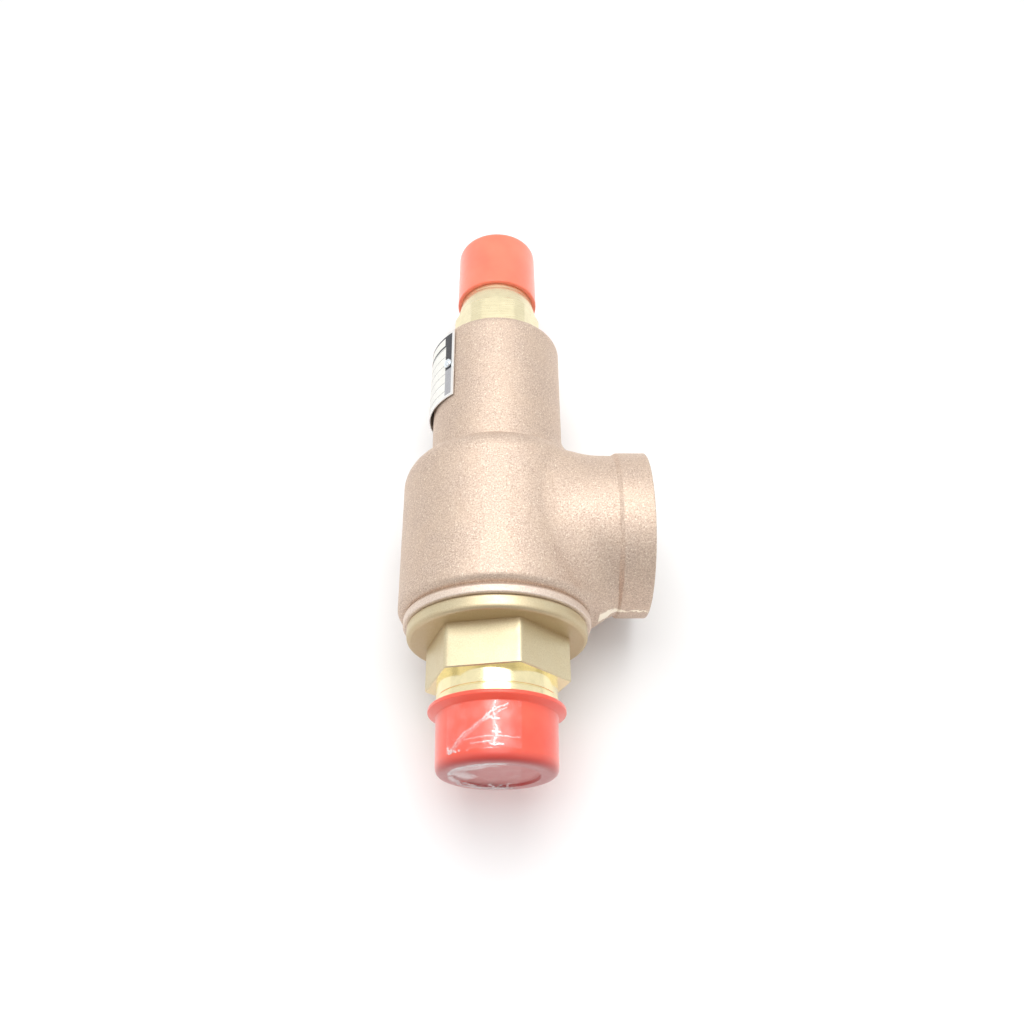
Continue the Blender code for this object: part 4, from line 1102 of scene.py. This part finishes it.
def make_protectors():
    low, mouth = INLET_CAP_END, INLET_CAP_MOUTH
    floor = THREAD_END - 0.25
    lower = lathe(
        "inlet_thread_protector",
        [(0, floor), (29.6, floor, 4.8), (30.1, INLET_CAP_LIP_LOW, 1), (30.7, mouth, 0.4)]
        + [(INLET_LIP_RADIUS, mouth, 0.8), (INLET_LIP_RADIUS, INLET_CAP_LIP_LOW, 0.8)]
        + [(INLET_CAP_RADIUS, INLET_CAP_FLARE, 0.9), (INLET_CAP_TIP, low, INLET_CAP_ROUND), (21.6, low, 0.4)]
        + [(21.0, low + 1.2, 0.4), (0, low + 1.2)],
        RED,
        steps=192,
        longest=2.0,
    )
    finished(lower, "inlet_protector", "red_plastic", "inlet_protector")
    low, end = TOP_PROTECTOR_LOW, TOP_PROTECTOR_END
    inside = CAP_RADIUS + 0.08
    upper = lathe(
        "top_thread_protector",
        [(0, end - 0.35), (17.2, end - 0.35, 0.4), (17.8, end, 0.4), (24.5, end, 5.0)]
        + [(25.0, low + 0.8, 1.7), (inside, low + 0.8, 0.15), (inside, end - 1.3, 1.2), (0, end - 1.3)],
        RED_PAINTED_PALER,
        steps=192,
        longest=2.0,
    )
    finished(upper, "top_protector", "red_plastic", "top_protector")


# Creases of the film, some of them painted highlight streaks where the crinkled film catches light: points
# (across, along the strip from its upper end), then strength and width
CREASES_AND_HIGHLIGHTS = [
    ([(-0.6, -1), (-1.3, 6), (-0.4, 12), (-0.9, 21)], 0.5, 0.3),
    ([(-0.9, 0), (-0.9, 21)], 0.16, 1.8),
    ([(-2.6, 9), (-0.4, 8.4), (1.4, 9.2)], 0.45, 0.4),
    ([(-1.8, 15), (0.8, 15.6)], 0.5, 0.5),
    ([(-3.4, 20.6), (-1, 21.4), (2.8, 21)], 0.7, 0.45),
    ([(-1.6, 23.4), (1.2, 24.6)], 0.5, 0.5),
    ([(-23.6, 22.6), (-14, 14), (-3.3, 6), (5.2, 1.4)], 0.45, 0.35),
    ([(-6, 10), (4.5, 3.6)], 0.3, 0.35),
    ([(-20, 20.4), (-12, 13.2), (-4, 7.6)], 0.2, 1.2),
    ([(-15.3, 17.8), (-4, 17), (10.7, 17.5)], 0.3, 0.35),
    ([(-12, 20), (-2, 19.4)], 0.35, 0.35),
    ([(-10, 23.5), (-3, 22.6), (4, 24)], 0.35, 0.5),
    ([(-0.5, 24), (5.2, 29.5), (11, 30)], 0.55, 0.45),
    ([(-11, 25.2), (-8.6, 24.6)], 0.45, 0.7),
    ([(-6, 26.6), (-4.4, 25.4), (-4.8, 23.8)], 0.4, 0.6),
    ([(-3, 27.6), (0.4, 27)], 0.4, 0.6),
    ([(-23.8, 20), (-20, 29), (-22, 36)], 0.6, 0.6),
    ([(-23, 27), (-18, 25.2), (-14, 26.4)], 0.4, 0.6),
    ([(-23.6, 24), (-21, 27), (-15, 30)], 0.35, 1.4),
    ([(-21, 24), (-18.5, 33), (-12, 37)], 0.5, 0.6),
    ([(-23, 31), (-16, 33), (-6, 31.5), (3, 30.5)], 0.5, 2.2),
    ([(-22, 38), (-17, 44), (-14, 52)], 0.5, 3.4),
    ([(-20, 34), (-13, 37), (-8, 36)], 0.55, 2.4),
    ([(-23.5, 44), (-19, 56), (-20, 66)], 0.45, 1.6),
    ([(-19, 30), (-14, 31.2)], 0.5, 0.6),
    ([(-12, 31.8), (-6, 30.6), (-1, 30.4)], 0.4, 0.6),
    ([(-8, 31), (-6, 36)], 0.6, 0.6),
    ([(-14, 33), (-16, 42), (-11, 50)], 0.5, 0.6),
    ([(-18, 72), (-9, 80), (2, 77), (10, 84)], 0.7, 1),
    ([(-20, 66), (-8, 75), (8, 78)], 0.5, 2.2),
    ([(-16, 60), (-12, 70), (-13, 82)], 0.6, 0.8),
    ([(-12, 66), (-9, 80)], 0.6, 0.8),
    ([(-3, 68), (-2, 84)], 0.6, 0.8),
    ([(2, 70), (-1, 77), (3, 84)], 0.5, 0.6),
    ([(6, 66), (4, 82)], 0.5, 0.7),
    ([(-21, 84), (-14, 96), (-16, 108)], 0.5, 0.7),
    ([(-24, 24), (-21, 22), (-18, 24.5), (-14, 23)], 0.6, 0.5),
    ([(-23.8, 28), (-20, 25.5), (-17, 28)], 0.65, 0.6),
    ([(-22, 21), (-21.5, 26), (-23.5, 30)], 0.6, 0.5),
    ([(-18, 22.5), (-16, 27), (-17.5, 31)], 0.5, 0.6),
    ([(-20, 33), (-12, 35), (-6, 34), (0, 35)], 0.5, 0.8),
    ([(-13, 76), (-6, 79.5), (2, 78.5), (9, 80)], 0.75, 0.9),
    ([(-9, 74), (-8, 83)], 0.6, 0.6),
    ([(0.5, 74), (0, 83)], 0.6, 0.6),
    ([(7.5, 73), (7, 82)], 0.55, 0.6),
]


def crease_and_highlight_strength(across, along):
    """How strongly each spot of the film is creased or carries a painted highlight streak, from 0 to about
    1.
    """
    spots = np.stack([across, along], -1)
    total = np.zeros(across.shape)
    for points, strength, width in CREASES_AND_HIGHLIGHTS:
        for start, end in zip(np.array(points[:-1]), np.array(points[1:])):
            line = end - start
            share = np.clip((spots - start) @ line / (line @ line), 0.0, 1.0)
            gap = np.linalg.norm(spots - start - share[..., None] * line, axis=-1)
            total = np.maximum(total, strength * np.exp(-((gap / width) ** 2)))
    return total


def film_path(x, count):
    """Points (towards the sky side, height, length so far) along the film at one place across it."""
    edge = INLET_CAP_TIP - INLET_CAP_ROUND
    corner = INLET_CAP_ROUND + GAP
    low = INLET_CAP_END - GAP
    ragged = 0.5 * noise.noise(Vector((x / 3.0, 0.0, 7.0)))
    half = math.sqrt((INLET_CAP_RADIUS + GAP) ** 2 - x * x)
    path = [(half, FILM_TOP - ragged)]
    for angle in np.linspace(0.0, math.pi / 2.0, 13):
        out = edge + corner * math.cos(angle)
        depth = math.sqrt(max(out * out - x * x, 0.0))
        path.append((depth, low + corner * (1.0 - math.sin(angle))))
        if depth == 0.0:
            break
    path += [(-depth, height) for depth, height in reversed(path) if depth > 0.0]
    path = refined(np.array(path), 0.8, False)
    length = np.concatenate([[0.0], np.cumsum(np.linalg.norm(np.diff(path, axis=0), axis=1))])
    even = np.linspace(0.0, length[-1], count)
    return np.stack([np.interp(even, length, path[:, 0]), np.interp(even, length, path[:, 1]), even], 1)


def make_film():
    """The strip of tape: from the lip over the flat end and back up the far side, creased and marked with
    painted highlight streaks.
    """
    columns, rows = 72, 241
    across = np.linspace(*FILM_SIDES, columns + 1)
    paths = np.array([film_path(x, rows) for x in across])
    across = np.repeat(across[:, None], rows, 1)
    along = paths[..., 2]
    verts = np.stack([across, -paths[..., 0], paths[..., 1]], 2)
    normals = np.cross(np.gradient(verts, axis=0), np.gradient(verts, axis=1))
    normals /= np.linalg.norm(normals, axis=2, keepdims=True)
    normals *= np.sign(normals[0, 0] @ verts[0, 0])
    spots = zip(across.ravel(), along.ravel())
    wander = np.array([noise.noise(Vector((x, s, 3.0)) / 4.0) for x, s in spots]).reshape(across.shape)
    crease_and_highlight = crease_and_highlight_strength(across + 1.5 * wander, along)
    lift = 0.4 * crease_and_highlight + 0.1 * np.maximum(wander, 0.0)
    verts = verts + normals * lift[..., None]
    faces = []
    for i in range(columns):
        for j in range(rows - 1):
            here, beside = i * rows + j, (i + 1) * rows + j
            faces.append((here, here + 1, beside + 1, beside))
    film = mesh_thing("protector_film", verts.reshape(-1, 3), faces, FILM)
    mark = film.data.attributes.new(CREASE_AND_HIGHLIGHT_MARK, "FLOAT", "POINT")
    mark.data.foreach_set("value", crease_and_highlight.ravel().astype(np.float32))
    shell = film.modifiers.new("film", "SOLIDIFY")
    shell.thickness = 0.06
    shell.offset = 1.0
    baked(film)
    finished(film, "inlet_protector", "clear_film", "cap_tape", sharp=60.0)


def plate_print(across, up, width, height):
    """Which print a spot of the nameplate carries: 0 bare metal, 1 ink, 2 pale field, 3 grey."""
    from_side = min(across, width - across)
    if from_side < PLATE_BORDER or not PLATE_BORDER < up < height - PLATE_BORDER:
        return 0
    if up > height - PLATE_HEADER:
        header_row = height - PLATE_HEADER + 1.6 < up < height - PLATE_BORDER - 1.2
        return 2 if header_row and from_side > PLATE_COLUMN + 0.8 else 1
    if from_side < PLATE_COLUMN:
        return 3 if up < height / 2.0 - 4.0 else 1
    rule = (up - PLATE_RULES[0]) % PLATE_RULES[1]
    return 1 if rule < PLATE_RULES[2] else 2


def plate_lines(width, height):
    """Where the print changes, across and up the plate."""
    border, column, header = PLATE_BORDER, PLATE_COLUMN, PLATE_HEADER
    first, step, thick = PLATE_RULES
    across = [border, column, column + 0.8]
    across += [width - place for place in across] + list(np.linspace(0.0, width, 60))
    up = [0.0, border, height / 2.0 - 4.0, height - header, height - header + 1.6]
    up += [height - border - 1.2, height - border, height]
    up += [first + step * k + side for k in range(6) for side in (0.0, thick)]
    up += list(np.linspace(0.0, height, 9))
    return np.unique(np.round(across, 3)), np.unique(np.round(up, 3))


def plate_radius(share, up, height):
    """Outer radius: the plate is bent more gently than the neck, and stands off between its screws."""
    bulge = PLATE_BULGE * math.sin(math.pi * share) ** 2 * (1.2 - 0.4 * up / height)
    return PLATE_RADIUS + PLATE_THICKNESS + bulge


def make_nameplate():
    """A curved plate whose outer face carries printed bands, blank fields and thin rules."""
    first, last = PLATE_ANGLES
    outer = PLATE_RADIUS + PLATE_THICKNESS
    width = math.radians(last - first) * outer
    height = PLATE_TOP - PLATE_LOW
    stations, levels = plate_lines(width, height)
    rows = []
    for s in stations:
        angle = around(-(first + math.degrees(s / outer)))
        for up in levels:
            radius = plate_radius(s / width, up, height)
            rows.append((radius * math.cos(angle), radius * math.sin(angle), PLATE_LOW + up))
    size = len(levels)
    faces, prints = [], []
    for i in range(len(stations) - 1):
        for j in range(size - 1):
            here, beside = i * size + j, (i + 1) * size + j
            faces.append((here, here + 1, beside + 1, beside))
            middle = (stations[i] + stations[i + 1]) / 2.0, (levels[j] + levels[j + 1]) / 2.0
            prints.append(plate_print(*middle, width, height))
    finishes = (PLATE_METAL, PLATE_INK, PLATE_FIELD, PLATE_GREY)
    plate = mesh_thing("curved_nameplate", rows, faces, *finishes)
    for face, kind in zip(plate.data.polygons, prints):
        face.material_index = kind
    shell = plate.modifiers.new("sheet", "SOLIDIFY")
    shell.thickness = PLATE_THICKNESS
    shell.offset = -1.0
    shell.material_offset_rim = -len(finishes)
    shell.use_quality_normals = True
    baked(plate)
    combined(plate, "DIFFERENCE", *drive_screw_holes(35, PLATE_METAL))
    finished(plate, BODY, "nameplate", "nameplate")


def make_drive_screws():
    first, last = PLATE_ANGLES
    height = PLATE_TOP - PLATE_LOW
    for name, angle in DRIVE_SCREWS.items():
        share = (angle - first) / (last - first)
        head = plate_radius(share, DRIVE_SCREW_HEIGHT - PLATE_LOW, height) + 0.1
        outline = [(0, head + 2.0), (1.6, head + 1.8, 0.6), (2.7, head + 1.0, 0.6), (2.9, head, 0.2)]
        outline += [(1.25, head), (1.25, 35, 0.5), (0, 34.2)]
        screw = lathe(f"{name}_head", outline, BRIGHT_STEEL, steps=64, longest=0.4)
        aim_outwards(screw, -angle, DRIVE_SCREW_HEIGHT)
        finished(screw, BODY, "drive_screw_steel", name)


# Floor, light and camera


def make_floor():
    sides = ((-1, -1), (1, -1), (1, 1), (-1, 1))
    corners = [(FLOOR_HALF * x, FLOOR_HALF * y, FLOOR) for x, y in sides]
    mesh_thing("floor", corners, [(0, 1, 2, 3)], pale_floor())


def make_sky():
    scene = bpy.context.scene
    scene.view_settings.view_transform = "Standard"
    scene.world = scene.world or bpy.data.worlds.new("studio")
    scene.world.use_nodes = True
    tree = scene.world.node_tree
    sky = tree.nodes["Background"].inputs
    sky["Color"].default_value = (1.0, 1.0, 1.0, 1.0)
    direction = tree.nodes.new("ShaderNodeTexCoord").outputs["Generated"]
    parts = tree.nodes.new("ShaderNodeSeparateXYZ")
    tree.links.new(direction, parts.inputs[0])
    towards_back = tree.nodes.new("ShaderNodeMapRange")
    towards_back.interpolation_type = "SMOOTHSTEP"
    for socket, value in zip(("From Min", "From Max", "To Min", "To Max"), SKY_STRENGTHS):
        towards_back.inputs[socket].default_value = value
    tree.links.new(parts.outputs["Y"], towards_back.inputs["Value"])
    tree.links.new(towards_back.outputs["Result"], sky["Strength"])


def make_lamps():
    for name, (where, size, power) in LAMPS.items():
        light = bpy.data.lights.new(name, "AREA")
        light.shape = "RECTANGLE"
        light.size, light.size_y = size
        light.energy = power
        lamp = added(name, light)
        lamp.location = where
        lamp.rotation_euler = (LAMP_TARGET - Vector(where)).to_track_quat("-Z", "Y").to_euler()


def make_camera():
    data = bpy.data.cameras.new("camera")
    data.lens = CAMERA_LENS
    data.sensor_width = 36.0
    data.shift_x = CAMERA_SHIFT
    data.clip_start = 0.01
    camera = added("camera", data)
    camera.location = CAMERA_PLACE
    camera.rotation_euler = (math.radians(CAMERA_TILT), 0.0, 0.0)
    bpy.context.scene.camera = camera


make_camera()
make_casting()
make_nozzle()
make_regulator()
make_disc_stack()
make_guide()
make_spindle()
make_spring_set()
make_adjuster()
make_top_cap()
make_protectors()
make_film()
make_nameplate()
make_drive_screws()
make_floor()
make_sky()
make_lamps()
